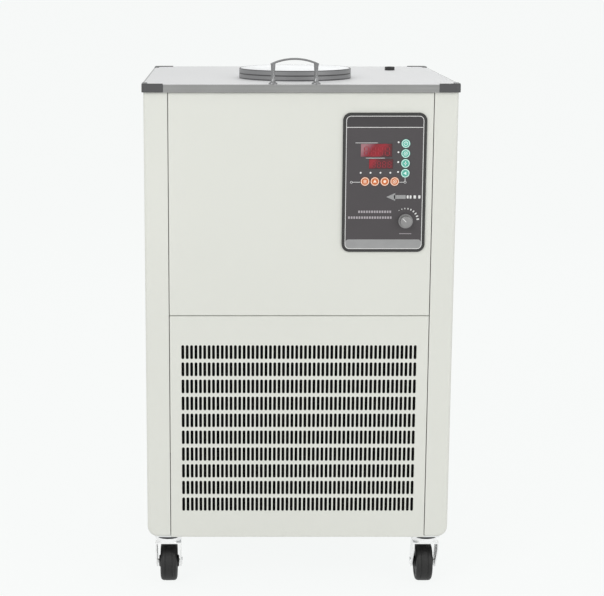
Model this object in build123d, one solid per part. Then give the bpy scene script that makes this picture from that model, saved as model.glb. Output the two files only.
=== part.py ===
from build123d import *
import os
from math import cos, radians, sin, sqrt

# Low temperature reaction bath on castors.
# Millimetres, X to the right, Y to the back, Z up, floor at Z = 0.
# The cabinet is drawn about X = 0, Y = 0, and every node is shifted along Y when it is written,
# so that the middle of the whole machine, knob and drain spigot included, stands on the origin.

# Overall sizes
worktop_width = 570
worktop_depth = 560
worktop_height = 953
castor_height = 106
side_overhang = 3
front_overhang = 5

# Sheet steel casing
sheet = 1.5
post_width = 43
panel_split_height = 531.5
seam = 1.2
return_depth = 8
lip_width = 14
post_edge_radius = 6
bottom_radius = 20
panel_edge_radius = 1.4
seat_gap = 0.3

# Frame, base pan and shelf
frame_leg = 20
frame_sheet = 2
base_sheet = 2
base_upstand = 18
shelf_sheet = 2

# Worktop, edge trim and corner caps
board_thickness = 12.8
trim_height = 14
trim_web = 3
trim_lip = 10
groove_depth = 0.7
groove_width = 1.4
lower_groove_height = 3.2
upper_groove_height = 10.2
cap_length = 39
cap_radius = 8

# Intake grille
slot_columns = 54
slot_rows = 10
slot_height = 26.6
slot_open_share = 2 / 3
slot_margin = 20
slot_pitch_z = 32.5
slot_field_height = 317

# Rear panel openings
vent_rows = 9
vent_width = 130
vent_height = 5
vent_pitch = 14
vent_spacing = 190
lower_vent_height = 320
upper_vent_height = 820

# Bath, lid and stirrer
bath_radius = 92
bath_depth = 190
tank_wall = 1.5
tank_flange = 8
bath_centre_from_front = 193
bath_x = -4
collar_radius = 105.5
collar_height = 9.3
lid_height = 9.7
lid_disc_thickness = 1.5
lid_rim_edge = 2.5
lid_plug_depth = 18
plug_chamfer = 3
edge_break = 1
plug_clearance = 1.5
insulation_wall = 35
coil_turns = 5
coil_pitch = 20
coil_thickness = 5
coil_height = 9
coil_lift = 28
line_radius = 4
line_clearance = 1
motor_radius = 30
motor_height = 80
motor_air = 5
motor_foot_thickness = 3
motor_edge_radius = 4
magnet_radius = 27
magnet_height = 8
magnet_gap = 3
stirrer_shaft_radius = 3

# Pull handle and rod socket
handle_x = -11.5
handle_spacing = 77
handle_from_front = 14
post_radius = 4
post_rise = 33
foot_radius = 8
foot_height = 6
foot_edge = 1.5
arch_rise = 10
arch_thickness = 3.6
arch_depth = 9
arch_overhang = 0.4
socket_radius = 10
socket_rise = 7
socket_from_side = 87
socket_from_front = 431
socket_stem_radius = 8
socket_stem_length = 36
socket_bore_radius = 6.05
socket_bore_depth = 34

# Control unit
bezel_from_edge = 11.8
bezel_from_top = 36
bezel_width = 150.4
bezel_height = 252
bezel_radius = 14
bezel_proud = 4
bezel_border = 5
bezel_ledge = 3
bezel_chamfer = 1.2
spigot_wall = 2
spigot_depth = 7
fascia_thickness = 2.5
key_radius = 8
key_proud = 1.2
key_travel = 0.8
key_pitch = 17.8
key_clearance = 0.3
key_flange_width = 0.6
key_flange_thickness = 1
key_stem_radius = 3
key_stem_length = 4
orange_first_x = -34.7
orange_z = 2.7
green_x = 37.5
green_first_z = 17.6
lamp_radius = 1.6
lamp_row_x = -42.7
lamp_row_z = 18.4
lamp_column_x = 24.5
lamp_column_z = 19.9
display_width = 56
display_height = 23
display_x = -14.9
display_z = 58.9
small_display_width = 43
small_display_height = 17
small_display_x = -6.2
small_display_z = 34.4
board_width = 122
board_height = 120
board_z = 46
board_sheet = 1.6
transformer_size = 36
transformer_depth = 18
relay_width = 24
relay_height = 30
relay_depth = 12
terminal_width = 86
terminal_height = 12
terminal_depth = 10
boss_radius = 3
boss_inset = 5
knob_x = 39.6
knob_z = -69
knob_radius = 13
knob_length = 14
knob_gap = 0.8
knob_skirt = 4.2
knob_grip_radius = 10.4
knob_edge_radius = 1.5
flute_count = 12
flute_radius = 1.4
shaft_radius = 3
bushing_radius = 4.5
pot_radius = 11
pot_depth = 12
pot_bore_depth = 9
pot_lug_size = 11
pot_lug_thickness = 2
running_fit = 0.05

# Cooling plant
filter_thickness = 4.5
filter_margin = 3
condenser_side_gap = 54.8
condenser_height = 290
condenser_depth = 40
condenser_gap = 5
condenser_lift = 40
fin_count = 24
fin_groove = 9
fin_groove_depth = 6
end_plate = 2
shroud_depth = 30
shroud_sheet = 1.5
fan_radius = 112
fan_tip_gap = 6
fan_hub_radius = 24
fan_hub_length = 20
blade_count = 5
blade_thickness = 2
blade_root_width = 24
blade_tip_width = 44
blade_overlap = 6
blade_pitch_angle = 20
fan_motor_radius = 36
fan_motor_length = 55
fan_motor_edge = 6
fan_shaft_radius = 3
motor_arm_width = 14
motor_arm_thickness = 3
motor_arm_overlap = 12
compressor_x = -50
compressor_y = 110
compressor_radius = 75
compressor_height = 185
dome_radius = 41
shell_chamfer = 15
weld_height = 78
weld_band = 7
weld_rise = 3
terminal_box_reach = 22
terminal_box_width = 52
terminal_box_bottom = 92
terminal_box_height = 52
grommet_radius = 11
grommet_height = 14
grommet_inset = 13
foot_plate_width = 210
foot_plate_depth = 120
foot_plate_thickness = 3
drier_radius = 13
drier_length = 90
drier_gap = 8
drier_drop = 20
header_inset = 30
discharge_offset_x = 20
discharge_offset_y = -10
suction_offset_x = -25
feed_bend = 6.4

# Drain and mains inlet
drain_x = 52
drain_radius = 6
drain_wall = 1
drain_drop = 18
drain_bend = 20
pipe_socket_depth = 6
valve_length = 30
valve_width = 26
valve_chamfer = 6
spigot_length = 20
ridge_count = 3
ridge_pitch = 5
ridge_length = 3.5
ridge_rise = 1
stem_radius = 3
ball_radius = 8
tang_width = 2
tang_length = 4
tang_depth = 2
bonnet_rise = 3
bonnet_wall = 3
lever_length = 44
lever_width = 12
lever_thickness = 3
grip_start = 20
grip_end = 40
grip_rise = 2
inlet_from_frame = 64.8
inlet_height = 190
inlet_width = 30
inlet_tall = 50
inlet_depth = 26
inlet_flange = 5
inlet_flange_thickness = 3
inlet_wall = 3
pin_width = 2
pin_height = 6
pin_spread = 12
pin_offset = 5
pin_recess = 4

# Castors
castor_inset_x = 38
castor_inset_y = 33
castor_trail = 26
castor_plate = 50
castor_plate_thickness = 3
race_radius = 24
race_height = 4
kingpin_radius = 5
kingpin_head_radius = 9
kingpin_head_height = 3
fork_width = 48
fork_sheet = 2.5
cheek_drop = 12
crown_gap = 13
fork_eye_radius = 11
axle_radius = 4
axle_head_radius = 7
axle_head_height = 1.5
wheel_radius = 37.5
hub_width = 38
hub_radius = 11
tread_width = 30
tread_shoulder = 4

# Values worked out from the sizes above
half_width = worktop_width / 2
half_depth = worktop_depth / 2
body_x = half_width - side_overhang
body_y = half_depth - front_overhang
body_top = worktop_height - trim_height
post_x = body_x - post_width
casing_x = post_x - seam
board_bottom = worktop_height - board_thickness
frame_x = casing_x - 2 * sheet
frame_y = body_y - return_depth - seat_gap
slot_pitch_x = 2 * (casing_x - slot_margin) / slot_columns
slot_width = slot_pitch_x * slot_open_share
socket_x = half_width - socket_from_side
base_top = castor_height + base_sheet
base_y = frame_y - frame_sheet - seat_gap

bath_y = bath_centre_from_front - half_depth
tank_radius = bath_radius + tank_wall
tank_bottom = worktop_height - bath_depth - tank_wall
collar_top = worktop_height + collar_height
lid_top = collar_top + lid_height
plug_radius = bath_radius - plug_clearance
insulation_bottom = tank_bottom - insulation_wall
coil_radius = tank_radius + seat_gap + coil_thickness / 2
coil_bottom = tank_bottom + coil_lift
coil_top = coil_bottom + coil_turns * coil_pitch
shelf_top = insulation_bottom - motor_air - motor_height
shelf_bottom = shelf_top - shelf_sheet

panel_x = casing_x - bezel_from_edge - bezel_width / 2
panel_z = body_top - bezel_from_top - bezel_height / 2
bezel_front = -body_y - bezel_proud
fascia_width = bezel_width - 2 * bezel_border
fascia_height = bezel_height - 2 * bezel_border
fascia_radius = bezel_radius - bezel_border
fascia_front = bezel_front + seat_gap
fascia_back = fascia_front + fascia_thickness
spigot_width = fascia_width - 2 * seat_gap
spigot_height = fascia_height - 2 * seat_gap
key_back = fascia_back + seat_gap + key_flange_thickness + key_stem_length
board_front = key_back + key_travel + seat_gap
board_back = board_front + board_sheet
knob_back = fascia_front - knob_gap
knob_front = knob_back - knob_length

filter_front = -body_y + sheet + seat_gap
condenser_width = 2 * (frame_x - condenser_side_gap)
condenser_front = -frame_y + condenser_gap
condenser_back = condenser_front + condenser_depth
condenser_bottom = base_top + condenser_lift
condenser_top = condenser_bottom + condenser_height
shroud_back = condenser_back + shroud_depth
fan_z = condenser_bottom + condenser_height / 2
compressor_bottom = base_top + grommet_height + foot_plate_thickness

inlet_x = -(frame_x - frame_leg - inlet_from_frame)
drain_z = insulation_bottom - drain_drop
valve_front = body_y + seat_gap
valve_back = valve_front + valve_length
valve_y = (valve_front + valve_back) / 2
spigot_end = valve_back + spigot_length
frame_shift = -(knob_front + spigot_end) / 2

castor_x = body_x - castor_inset_x
castor_y = body_y - castor_inset_y
race_bottom = castor_height - castor_plate_thickness - race_height
fork_top = race_bottom - seat_gap
crown_bottom = 2 * wheel_radius + crown_gap
corners = {
    "front_left": (-1, -1),
    "front_right": (1, -1),
    "rear_left": (-1, 1),
    "rear_right": (1, 1),
}


def block(x0, x1, y0, y1, z0, z1):
    middle = Pos((x0 + x1) / 2, (y0 + y1) / 2, (z0 + z1) / 2)
    return middle * Box(abs(x1 - x0), abs(y1 - y0), abs(z1 - z0))


def upright_rod(x, y, z0, z1, radius):
    return Pos(x, y, (z0 + z1) / 2) * Cylinder(radius, z1 - z0)


def level_rod(x, z, y0, y1, radius):
    return Pos(x, (y0 + y1) / 2, z) * Rot(X=90) * Cylinder(radius, y1 - y0)


def cross_rod(x0, x1, y, z, radius):
    return Pos((x0 + x1) / 2, y, z) * Rot(Y=90) * Cylinder(radius, x1 - x0)


def facing_plate(x, z, y_front, y_back, outline):
    """A flat outline that faces the front, from y_front back to y_back."""
    return Pos(x, y_back, z) * Rot(X=90) * extrude(outline, y_back - y_front, dir=(0, 0, 1))


def turned(points, x, y):
    """A closed outline of (radius, height) points turned about the upright line at x, y."""
    outline = make_face(Plane.XZ * Polyline(*points, close=True))
    return Pos(x, y, 0) * revolve(outline, Axis.Z)


def pipe(points, bends, radius, wall=0):
    route = FilletPolyline(*points, radius=bends)
    start = Plane(origin=route @ 0, z_dir=route % 0)
    ring = start * Circle(radius)
    if wall:
        ring -= start * Circle(radius - wall)
    return sweep(ring, path=route)


# Casing

def rounded_cover(skin):
    """The side cover's outer form, or its hollow when skin is the sheet's thickness."""
    open_end = 5 if skin else 0
    form = block(
        post_x - open_end, body_x - skin, -body_y + skin, body_y - skin,
        castor_height + skin, body_top + open_end,
    )
    rolled = form.edges().filter_by(Axis.Y).sort_by(lambda e: e.center().X - e.center().Z)[-1]
    form = fillet(rolled, bottom_radius - skin)
    upright = form.edges().filter_by(Axis.Z).group_by(Axis.X)[-1]
    return fillet(upright, post_edge_radius - skin)


def side_cover_right():
    return rounded_cover(0) - rounded_cover(sheet)


def folded_panel(bottom, top):
    """A panel with its four edges folded back and a lip along each side."""
    inner = casing_x - sheet
    back = -body_y + return_depth
    tray = block(-casing_x, casing_x, -body_y, back, bottom, top)
    tray = fillet(tray.faces().sort_by(Axis.Y)[0].edges(), panel_edge_radius)
    tray -= block(-inner, inner, -body_y + sheet, back - sheet, bottom + sheet, top - sheet)
    mouth = casing_x - lip_width
    return tray - block(-mouth, mouth, -body_y + sheet, back + sheet, bottom + sheet, top - sheet)


def spigot_outline(growth):
    return RectangleRounded(
        spigot_width + 2 * growth, spigot_height + 2 * growth, fascia_radius + growth
    )


def upper_front_panel():
    panel = folded_panel(panel_split_height + seam / 2, body_top - seat_gap)
    hole = facing_plate(
        panel_x, panel_z, -body_y - sheet, -body_y + 2 * sheet, spigot_outline(-bezel_ledge + seat_gap)
    )
    return panel - hole


def slot_outlines():
    for column in range(slot_columns):
        for row in range(slot_rows):
            x = (column - (slot_columns - 1) / 2) * slot_pitch_x
            z = (row - (slot_rows - 1) / 2) * slot_pitch_z
            yield Pos(x, z) * Wire.make_rect(slot_width, slot_height)


def lower_grille_panel():
    """The slotted field is one punched sheet, let into the folded panel."""
    panel = folded_panel(castor_height, panel_split_height - seam / 2)
    field_width = slot_columns * slot_pitch_x
    field_height = slot_rows * slot_pitch_z
    rim = Wire.make_rect(field_width, field_height)
    punched = Face(rim, list(slot_outlines()))
    front, back = -body_y, -body_y + sheet
    panel -= facing_plate(0, slot_field_height, front - sheet, back + sheet / 2, Face(rim))
    return panel + facing_plate(0, slot_field_height, front, back, punched)


def rear_panel():
    """Plain folded panel with four groups of vents, the drain's hole and the inlet's cut-out."""
    panel = folded_panel(castor_height, body_top - seat_gap)
    front, back = -body_y - sheet, -body_y + 2 * sheet
    vent = Rectangle(vent_width, vent_height)
    cuts = [level_rod(-drain_x, drain_z, front, back, drain_radius + seat_gap)]
    for side in (-1, 1):
        for row in range(vent_rows):
            rise = (row - (vent_rows - 1) / 2) * vent_pitch
            for level in (lower_vent_height, upper_vent_height):
                cuts.append(facing_plate(side * vent_spacing / 2, level + rise, front, back, vent))
    mouth = Rectangle(inlet_width + 2 * seat_gap, inlet_tall + 2 * seat_gap)
    cuts.append(facing_plate(-inlet_x, inlet_height, front, back, mouth))
    return Rot(Z=180) * (panel - cuts)


def base_pan():
    """A flat pan between the posts, joggled up at both sides onto the side covers' folded edge."""
    step = post_x - seat_gap
    flange_bottom = castor_height + sheet
    flange_x = body_x - bottom_radius - seat_gap
    half = [
        (0, castor_height),
        (step, castor_height),
        (step, flange_bottom),
        (flange_x, flange_bottom),
        (flange_x, flange_bottom + base_sheet),
        (step - base_sheet, flange_bottom + base_sheet),
        (step - base_sheet, base_top),
        (0, base_top),
    ]
    section = make_face(Plane.XZ * Polyline(*half, close=True))
    right = Pos(0, base_y, 0) * extrude(section, 2 * base_y)
    pan = right + mirror(right, Plane.YZ)
    top = base_top + base_upstand
    width = frame_x - frame_sheet - seat_gap
    for y0 in (-base_y, base_y - base_sheet):
        pan += block(-width, width, y0, y0 + base_sheet, base_top, top)
    return pan


def inner_frame():
    """Angle sections welded into one frame: four uprights and two rings of rails."""
    def quarter_ring(top):
        along_x = block(0, frame_x, -frame_y, -frame_y + frame_sheet, top - frame_leg, top)
        along_x += block(0, frame_x, -frame_y, -frame_y + frame_leg, top - frame_sheet, top)
        along_y = block(frame_x - frame_sheet, frame_x, -frame_y, 0, top - frame_leg, top)
        along_y += block(frame_x - frame_leg, frame_x, -frame_y, 0, top - frame_sheet, top)
        return along_x + along_y

    foot = castor_height + sheet + base_sheet + seat_gap
    quarter = block(frame_x - frame_leg, frame_x, -frame_y, -frame_y + frame_sheet, foot, board_bottom)
    quarter += block(frame_x - frame_sheet, frame_x, -frame_y, -frame_y + frame_leg, foot, board_bottom)
    quarter += quarter_ring(board_bottom)
    quarter += quarter_ring(shelf_bottom)
    half = quarter + mirror(quarter, Plane.YZ)
    return half + mirror(half, Plane.XZ)


def bath_shelf():
    reach_x = frame_x - frame_sheet - seat_gap
    reach_y = frame_y - frame_sheet - seat_gap
    shelf = block(-reach_x, reach_x, -reach_y, reach_y, shelf_bottom, shelf_top)
    for x, y in line_feet():
        shelf -= upright_rod(x, y, shelf_bottom - 1, shelf_top + 1, line_radius + line_clearance)
    return shelf


# Worktop and its trim

def worktop():
    top = Pos(0, 0, board_bottom) * extrude(
        RectangleRounded(
            worktop_width - 2 * trim_web, worktop_depth - 2 * trim_web, cap_radius - trim_web
        ),
        board_thickness,
    )
    top -= upright_rod(bath_x, bath_y, board_bottom - 1, worktop_height + 1, tank_radius + seat_gap)
    socket_y = socket_from_front - half_depth
    return top - upright_rod(
        socket_x, socket_y, board_bottom - 1, worktop_height + 1, socket_stem_radius + seat_gap
    )


def trim_bar(distance, length):
    """The edge trim's grooved section, with a lip under the board, drawn along the front."""
    deep = groove_depth
    section = [
        (0, 0),
        (0, lower_groove_height),
        (deep, lower_groove_height),
        (deep, lower_groove_height + groove_width),
        (0, lower_groove_height + groove_width),
        (0, upper_groove_height),
        (deep, upper_groove_height),
        (deep, upper_groove_height + groove_width),
        (0, upper_groove_height + groove_width),
        (0, trim_height),
        (trim_web, trim_height),
        (trim_web, trim_height - board_thickness),
        (trim_lip, trim_height - board_thickness),
        (trim_lip, 0),
    ]
    start = Plane(origin=(-length / 2, -distance, body_top), x_dir=(0, 1, 0), z_dir=(1, 0, 0))
    return extrude(make_face(start * Polyline(*section, close=True)), length, dir=(1, 0, 0))


def edge_trims():
    """One grooved section cut to four lengths."""
    across = trim_bar(half_depth, worktop_width - 2 * cap_length)
    along = trim_bar(half_width, worktop_depth - 2 * cap_length)
    return [across, Rot(Z=180) * across, Rot(Z=90) * along, Rot(Z=-90) * along]


def corner_caps():
    """Moulded caps that close the trim's corners and hold the board's edge."""
    cap = block(
        half_width - cap_length, half_width, half_depth - cap_length, half_depth, body_top, worktop_height
    )
    corner = cap.edges().filter_by(Axis.Z).sort_by(lambda e: e.center().X + e.center().Y)[-1]
    cap = fillet(corner, cap_radius)
    cap -= block(
        half_width - cap_length - 1, half_width - trim_lip,
        half_depth - cap_length - 1, half_depth - trim_lip,
        body_top - 1, worktop_height + 1,
    )
    cap -= worktop()
    across = mirror(cap, Plane.YZ)
    return [cap, across, mirror(cap, Plane.XZ), mirror(across, Plane.XZ)]


# Bath and lid

def bath_tank():
    flange = tank_radius + tank_flange
    rim = worktop_height + tank_wall
    tank = turned(
        [
            (0, tank_bottom),
            (tank_radius, tank_bottom),
            (tank_radius, worktop_height),
            (flange, worktop_height),
            (flange, rim),
            (bath_radius, rim),
            (bath_radius, tank_bottom + tank_wall),
            (0, tank_bottom + tank_wall),
        ],
        bath_x, bath_y,
    )
    return tank - upright_rod(drain_x, bath_y, tank_bottom - 1, tank_bottom + tank_wall + 1, drain_radius)


def bath_collar():
    """The ring that clamps the tank's flange to the worktop and carries the lid."""
    flange = tank_radius + tank_flange + seat_gap
    return turned(
        [
            (flange, worktop_height),
            (collar_radius, worktop_height),
            (collar_radius, collar_top - edge_break),
            (collar_radius - edge_break, collar_top),
            (bath_radius, collar_top),
            (bath_radius, worktop_height + tank_wall),
            (flange, worktop_height + tank_wall),
        ],
        bath_x, bath_y,
    )


def lid_rim():
    ledge = lid_top - lid_disc_thickness
    seat = collar_radius - lid_rim_edge
    inner = plug_radius + seat_gap
    return turned(
        [
            (inner, collar_top),
            (collar_radius - edge_break, collar_top),
            (collar_radius, collar_top + edge_break),
            (collar_radius, lid_top - edge_break),
            (collar_radius - edge_break, lid_top),
            (seat, lid_top),
            (seat, ledge),
            (inner, ledge),
        ],
        bath_x, bath_y,
    )


def lid_disc():
    radius = collar_radius - lid_rim_edge - seat_gap
    return upright_rod(bath_x, bath_y, lid_top - lid_disc_thickness, lid_top, radius)


def lid_plug():
    bottom = collar_top - lid_plug_depth
    return turned(
        [
            (0, bottom),
            (plug_radius - plug_chamfer, bottom),
            (plug_radius, bottom + plug_chamfer),
            (plug_radius, lid_top - lid_disc_thickness),
            (0, lid_top - lid_disc_thickness),
        ],
        bath_x, bath_y,
    )


def line_feet():
    """Where the liquid and the suction line rise through the shelf to the coil."""
    beside_tank = tank_radius + seat_gap + line_radius
    beside_coil = coil_radius + coil_thickness / 2 + seat_gap + line_radius
    return [(bath_x + beside_tank, bath_y), (bath_x - beside_coil, bath_y)]


def bath_insulation():
    """Foam cast round the tank, with a ring-shaped space for the coil."""
    half = tank_radius + coil_thickness + 2 * line_radius + insulation_wall
    foam = block(
        bath_x - half, bath_x + half, bath_y - half, bath_y + half, insulation_bottom, board_bottom
    )
    foam = fillet(foam.edges().filter_by(Axis.Z), insulation_wall)
    foam -= upright_rod(bath_x, bath_y, tank_bottom, board_bottom + 1, tank_radius)
    groove = tank_radius + coil_thickness + 2 * line_radius + 3 * line_clearance
    foam -= upright_rod(bath_x, bath_y, coil_bottom - coil_height, coil_top + coil_height, groove)
    foam -= upright_rod(bath_x, bath_y, insulation_bottom - 1, tank_bottom, magnet_radius + motor_air)
    foam -= upright_rod(drain_x, bath_y, insulation_bottom - 1, tank_bottom, drain_radius + seat_gap)
    for x, y in line_feet():
        foam -= upright_rod(x, y, insulation_bottom - 1, coil_bottom, line_radius + line_clearance)
    return foam


def evaporator_coil():
    """A flattened copper tube wound round the tank."""
    path = Helix(pitch=coil_pitch, height=coil_turns * coil_pitch, radius=coil_radius)
    start = Plane(origin=(coil_radius, 0, 0), x_dir=(1, 0, 0), z_dir=path % 0)
    coil = sweep(start * Rectangle(coil_thickness, coil_height), path=path, is_frenet=True)
    return Pos(bath_x, bath_y, coil_bottom) * coil


def stirrer_motor():
    foot = block(
        bath_x - motor_radius, bath_x + motor_radius, bath_y - motor_radius, bath_y + motor_radius,
        shelf_top, shelf_top + motor_foot_thickness,
    )
    body = upright_rod(bath_x, bath_y, shelf_top, shelf_top + motor_height, motor_radius)
    body = fillet(body.edges().sort_by(Axis.Z)[-1], motor_edge_radius)
    depth = motor_height / 2
    bore = upright_rod(
        bath_x, bath_y, shelf_top + depth, shelf_top + motor_height + 1, stirrer_shaft_radius + running_fit
    )
    return foot + body - bore


def stirrer_magnet():
    """The drive plate with its two magnets and the shaft that turns in the motor."""
    top = tank_bottom - magnet_gap
    plate = upright_rod(bath_x, bath_y, top - magnet_height, top - magnet_height / 2, magnet_radius)
    for side in (-1, 1):
        x = bath_x + side * magnet_radius / 2
        half = magnet_radius / 4
        plate += block(x - half, x + half, bath_y - 2 * half, bath_y + 2 * half,
                       top - magnet_height / 2, top)
    shaft_foot = shelf_top + motor_height / 2 + seat_gap
    return plate + upright_rod(bath_x, bath_y, shaft_foot, top - magnet_height, stirrer_shaft_radius)


# Fittings on the worktop

def pull_handle():
    """One casting: two posts with flared feet and a shallow arch across them."""
    y = handle_from_front - half_depth
    half = handle_spacing / 2
    top = worktop_height + post_rise
    foot = turned(
        [
            (0, worktop_height),
            (foot_radius, worktop_height),
            (foot_radius, worktop_height + foot_edge),
            (post_radius, worktop_height + foot_height),
            (post_radius, top),
            (0, top),
        ],
        half, y,
    )
    reach = half + post_radius + arch_overhang
    lower = ThreePointArc((-reach, top), (0, top + arch_rise), (reach, top))
    upper = ThreePointArc(
        (-reach, top + arch_thickness), (0, top + arch_rise + arch_thickness), (reach, top + arch_thickness)
    )
    ends = Line(lower @ 0, upper @ 0) + Line(lower @ 1, upper @ 1)
    bow = facing_plate(0, 0, y - arch_depth / 2, y + arch_depth / 2, make_face(lower + upper + ends))
    bow = fillet(bow.edges().filter_by(Axis.Y), arch_thickness / 3)
    lift = arch_rise * (1 - (half / reach) ** 2) + arch_thickness / 2
    foot += upright_rod(half, y, top, top + lift, post_radius)
    return Pos(handle_x, 0, 0) * (foot + mirror(foot, Plane.YZ) + bow)


def rod_socket():
    """A socket for a support rod, let into the worktop."""
    y = socket_from_front - half_depth
    top = worktop_height + socket_rise
    foot = worktop_height - socket_stem_length
    socket = turned(
        [
            (socket_bore_radius, top),
            (socket_radius - edge_break, top),
            (socket_radius, top - edge_break),
            (socket_radius, worktop_height),
            (socket_stem_radius, worktop_height),
            (socket_stem_radius, foot),
            (0, foot),
            (0, top - socket_bore_depth),
            (socket_bore_radius, top - socket_bore_depth),
        ],
        socket_x, y,
    )
    return socket


# Control unit

def control_bezel():
    frame = facing_plate(
        panel_x, panel_z, bezel_front, -body_y, RectangleRounded(bezel_width, bezel_height, bezel_radius)
    )
    frame = chamfer(frame.faces().sort_by(Axis.Y)[0].edges(), bezel_chamfer)
    frame += facing_plate(panel_x, panel_z, -body_y, -body_y + spigot_depth, spigot_outline(-bezel_ledge))
    frame -= facing_plate(
        panel_x, panel_z, bezel_front - 1, fascia_back,
        RectangleRounded(fascia_width + 2 * seat_gap, fascia_height + 2 * seat_gap, fascia_radius + seat_gap),
    )
    return frame - facing_plate(
        panel_x, panel_z, bezel_front - 1, -body_y + spigot_depth + 1,
        spigot_outline(-bezel_ledge - spigot_wall),
    )


def key_places():
    for number in range(4):
        yield "orange", number + 1, orange_first_x + number * key_pitch, orange_z
    for number in range(4):
        yield "green", number + 1, green_x, green_first_z + number * key_pitch


def lamp_places():
    for number in range(4):
        yield lamp_row_x + number * key_pitch, lamp_row_z
        yield lamp_column_x, lamp_column_z + number * key_pitch


def windows(growth, front, back):
    """The large and the small display's outline, from front to back, grown on every side."""
    for x, z, width, height in (
        (display_x, display_z, display_width, display_height),
        (small_display_x, small_display_z, small_display_width, small_display_height),
    ):
        outline = Rectangle(width + 2 * growth, height + 2 * growth)
        yield facing_plate(panel_x + x, panel_z + z, front, back, outline)


def control_fascia():
    front, back = fascia_front - 1, fascia_back + 1
    plate = facing_plate(
        panel_x, panel_z, fascia_front, fascia_back,
        RectangleRounded(fascia_width, fascia_height, fascia_radius),
    )
    holes = list(windows(seat_gap, front, back))
    holes.append(level_rod(panel_x + knob_x, panel_z + knob_z, front, back, bushing_radius + running_fit))
    for colour, number, x, z in key_places():
        holes.append(level_rod(panel_x + x, panel_z + z, front, back, key_radius + key_clearance))
    for x, z in lamp_places():
        holes.append(level_rod(panel_x + x, panel_z + z, front, back, lamp_radius + running_fit))
    plate -= holes
    for x in (-1, 1):
        for z in (-1, 1):
            boss_x = panel_x + x * (board_width / 2 - boss_inset)
            boss_z = panel_z + board_z + z * (board_height / 2 - boss_inset)
            plate += level_rod(boss_x, boss_z, fascia_back, board_front, boss_radius)
    return plate


def display_modules():
    """Two numeral displays behind tinted windows, plugged onto the board."""
    return list(windows(0, fascia_front + seat_gap, board_front))


def indicator_lamps():
    return [
        level_rod(panel_x + x, panel_z + z, fascia_front - seat_gap, board_front, lamp_radius)
        for x, z in lamp_places()
    ]


def board_block(x, z, width, height, depth):
    return facing_plate(
        panel_x + x, panel_z + board_z + z, board_back, board_back + depth, Rectangle(width, height)
    )


def control_board():
    """Circuit board with its transformer, relay and terminal strip."""
    side, rise = board_width / 4, board_height / 4
    board = facing_plate(
        panel_x, panel_z + board_z, board_front, board_back, Rectangle(board_width, board_height)
    )
    board += board_block(-side, rise, transformer_size, transformer_size, transformer_depth)
    board += board_block(side, rise, relay_width, relay_height, relay_depth)
    strip_z = terminal_height - board_height / 2
    return board + board_block(0, strip_z, terminal_width, terminal_height, terminal_depth)


def panel_key(x, z):
    cap = level_rod(panel_x + x, panel_z + z, fascia_front - key_proud, fascia_back + seat_gap, key_radius)
    cap = chamfer(cap.edges().sort_by(Axis.Y)[0], key_proud / 2)
    flange_front = fascia_back + seat_gap
    flange_back = flange_front + key_flange_thickness
    cap += level_rod(panel_x + x, panel_z + z, flange_front, flange_back, key_radius + key_flange_width)
    return cap + level_rod(panel_x + x, panel_z + z, flange_back, key_back, key_stem_radius)


def speed_potentiometer():
    x, z = panel_x + knob_x, panel_z + knob_z
    body = level_rod(x, z, fascia_back, fascia_back + pot_depth, pot_radius)
    body += level_rod(x, z, fascia_front, fascia_back, bushing_radius)
    middle = fascia_back + pot_depth / 2
    lug = Rectangle(pot_lug_size, pot_lug_size)
    body += facing_plate(x, z - pot_radius, middle - pot_lug_thickness, middle, lug)
    return body - level_rod(
        x, z, fascia_front - 1, fascia_back + pot_bore_depth, shaft_radius + running_fit
    )


def speed_knob():
    """A fluted grip on a round skirt, with the spindle it turns."""
    x, z = panel_x + knob_x, panel_z + knob_z
    skirt_front = knob_back - knob_skirt
    skirt = level_rod(x, z, skirt_front, knob_back, knob_radius)
    grip = level_rod(x, z, knob_front, knob_back, knob_grip_radius)
    grip = fillet(grip.edges().sort_by(Axis.Y)[0], knob_edge_radius)
    knob = skirt + grip
    reach = knob_grip_radius + flute_radius / 2
    flutes = []
    for number in range(flute_count):
        angle = radians(360 / flute_count * number)
        flutes.append(level_rod(
            x + reach * cos(angle), z + reach * sin(angle), knob_front - 1, skirt_front, flute_radius
        ))
    knob -= flutes
    return knob + level_rod(x, z, knob_back, fascia_back + pot_bore_depth - 2 * seat_gap, shaft_radius)


# Cooling plant

def dust_filter():
    half_x = slot_columns * slot_pitch_x / 2 + filter_margin
    half_z = slot_rows * slot_pitch_z / 2 + filter_margin
    return block(
        -half_x, half_x, filter_front, filter_front + filter_thickness,
        slot_field_height - half_z, slot_field_height + half_z,
    )


def condenser():
    """Finned block between two end plates that stand on the base pan."""
    half = condenser_width / 2 - end_plate
    pitch = 2 * half / fin_count
    front, back = condenser_front, condenser_back
    front_edge = [(-half, front)]
    back_edge = [(-half, back)]
    for number in range(fin_count):
        start = -half + (number + 0.5) * pitch - fin_groove / 2
        end = start + fin_groove
        for edge, face, floor in (
            (front_edge, front, front + fin_groove_depth),
            (back_edge, back, back - fin_groove_depth),
        ):
            edge += [(start, face), (start, floor), (end, floor), (end, face)]
    outline = front_edge + [(half, front), (half, back)] + back_edge[::-1]
    core = Pos(0, 0, condenser_bottom) * extrude(
        make_face(Polyline(*outline, close=True)), condenser_height, dir=(0, 0, 1)
    )
    for x in (-half - end_plate, half):
        core += block(x, x + end_plate, front, back, base_top, condenser_top)
    return core


def fan_shroud():
    half = condenser_width / 2
    duct = block(-half, half, condenser_back, shroud_back, condenser_bottom, condenser_top)
    duct -= block(
        -half + shroud_sheet, half - shroud_sheet, condenser_back - 1, shroud_back - shroud_sheet,
        condenser_bottom + shroud_sheet, condenser_top - shroud_sheet,
    )
    return duct - level_rod(0, fan_z, condenser_back, shroud_back + 1, fan_radius + fan_tip_gap)


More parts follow.
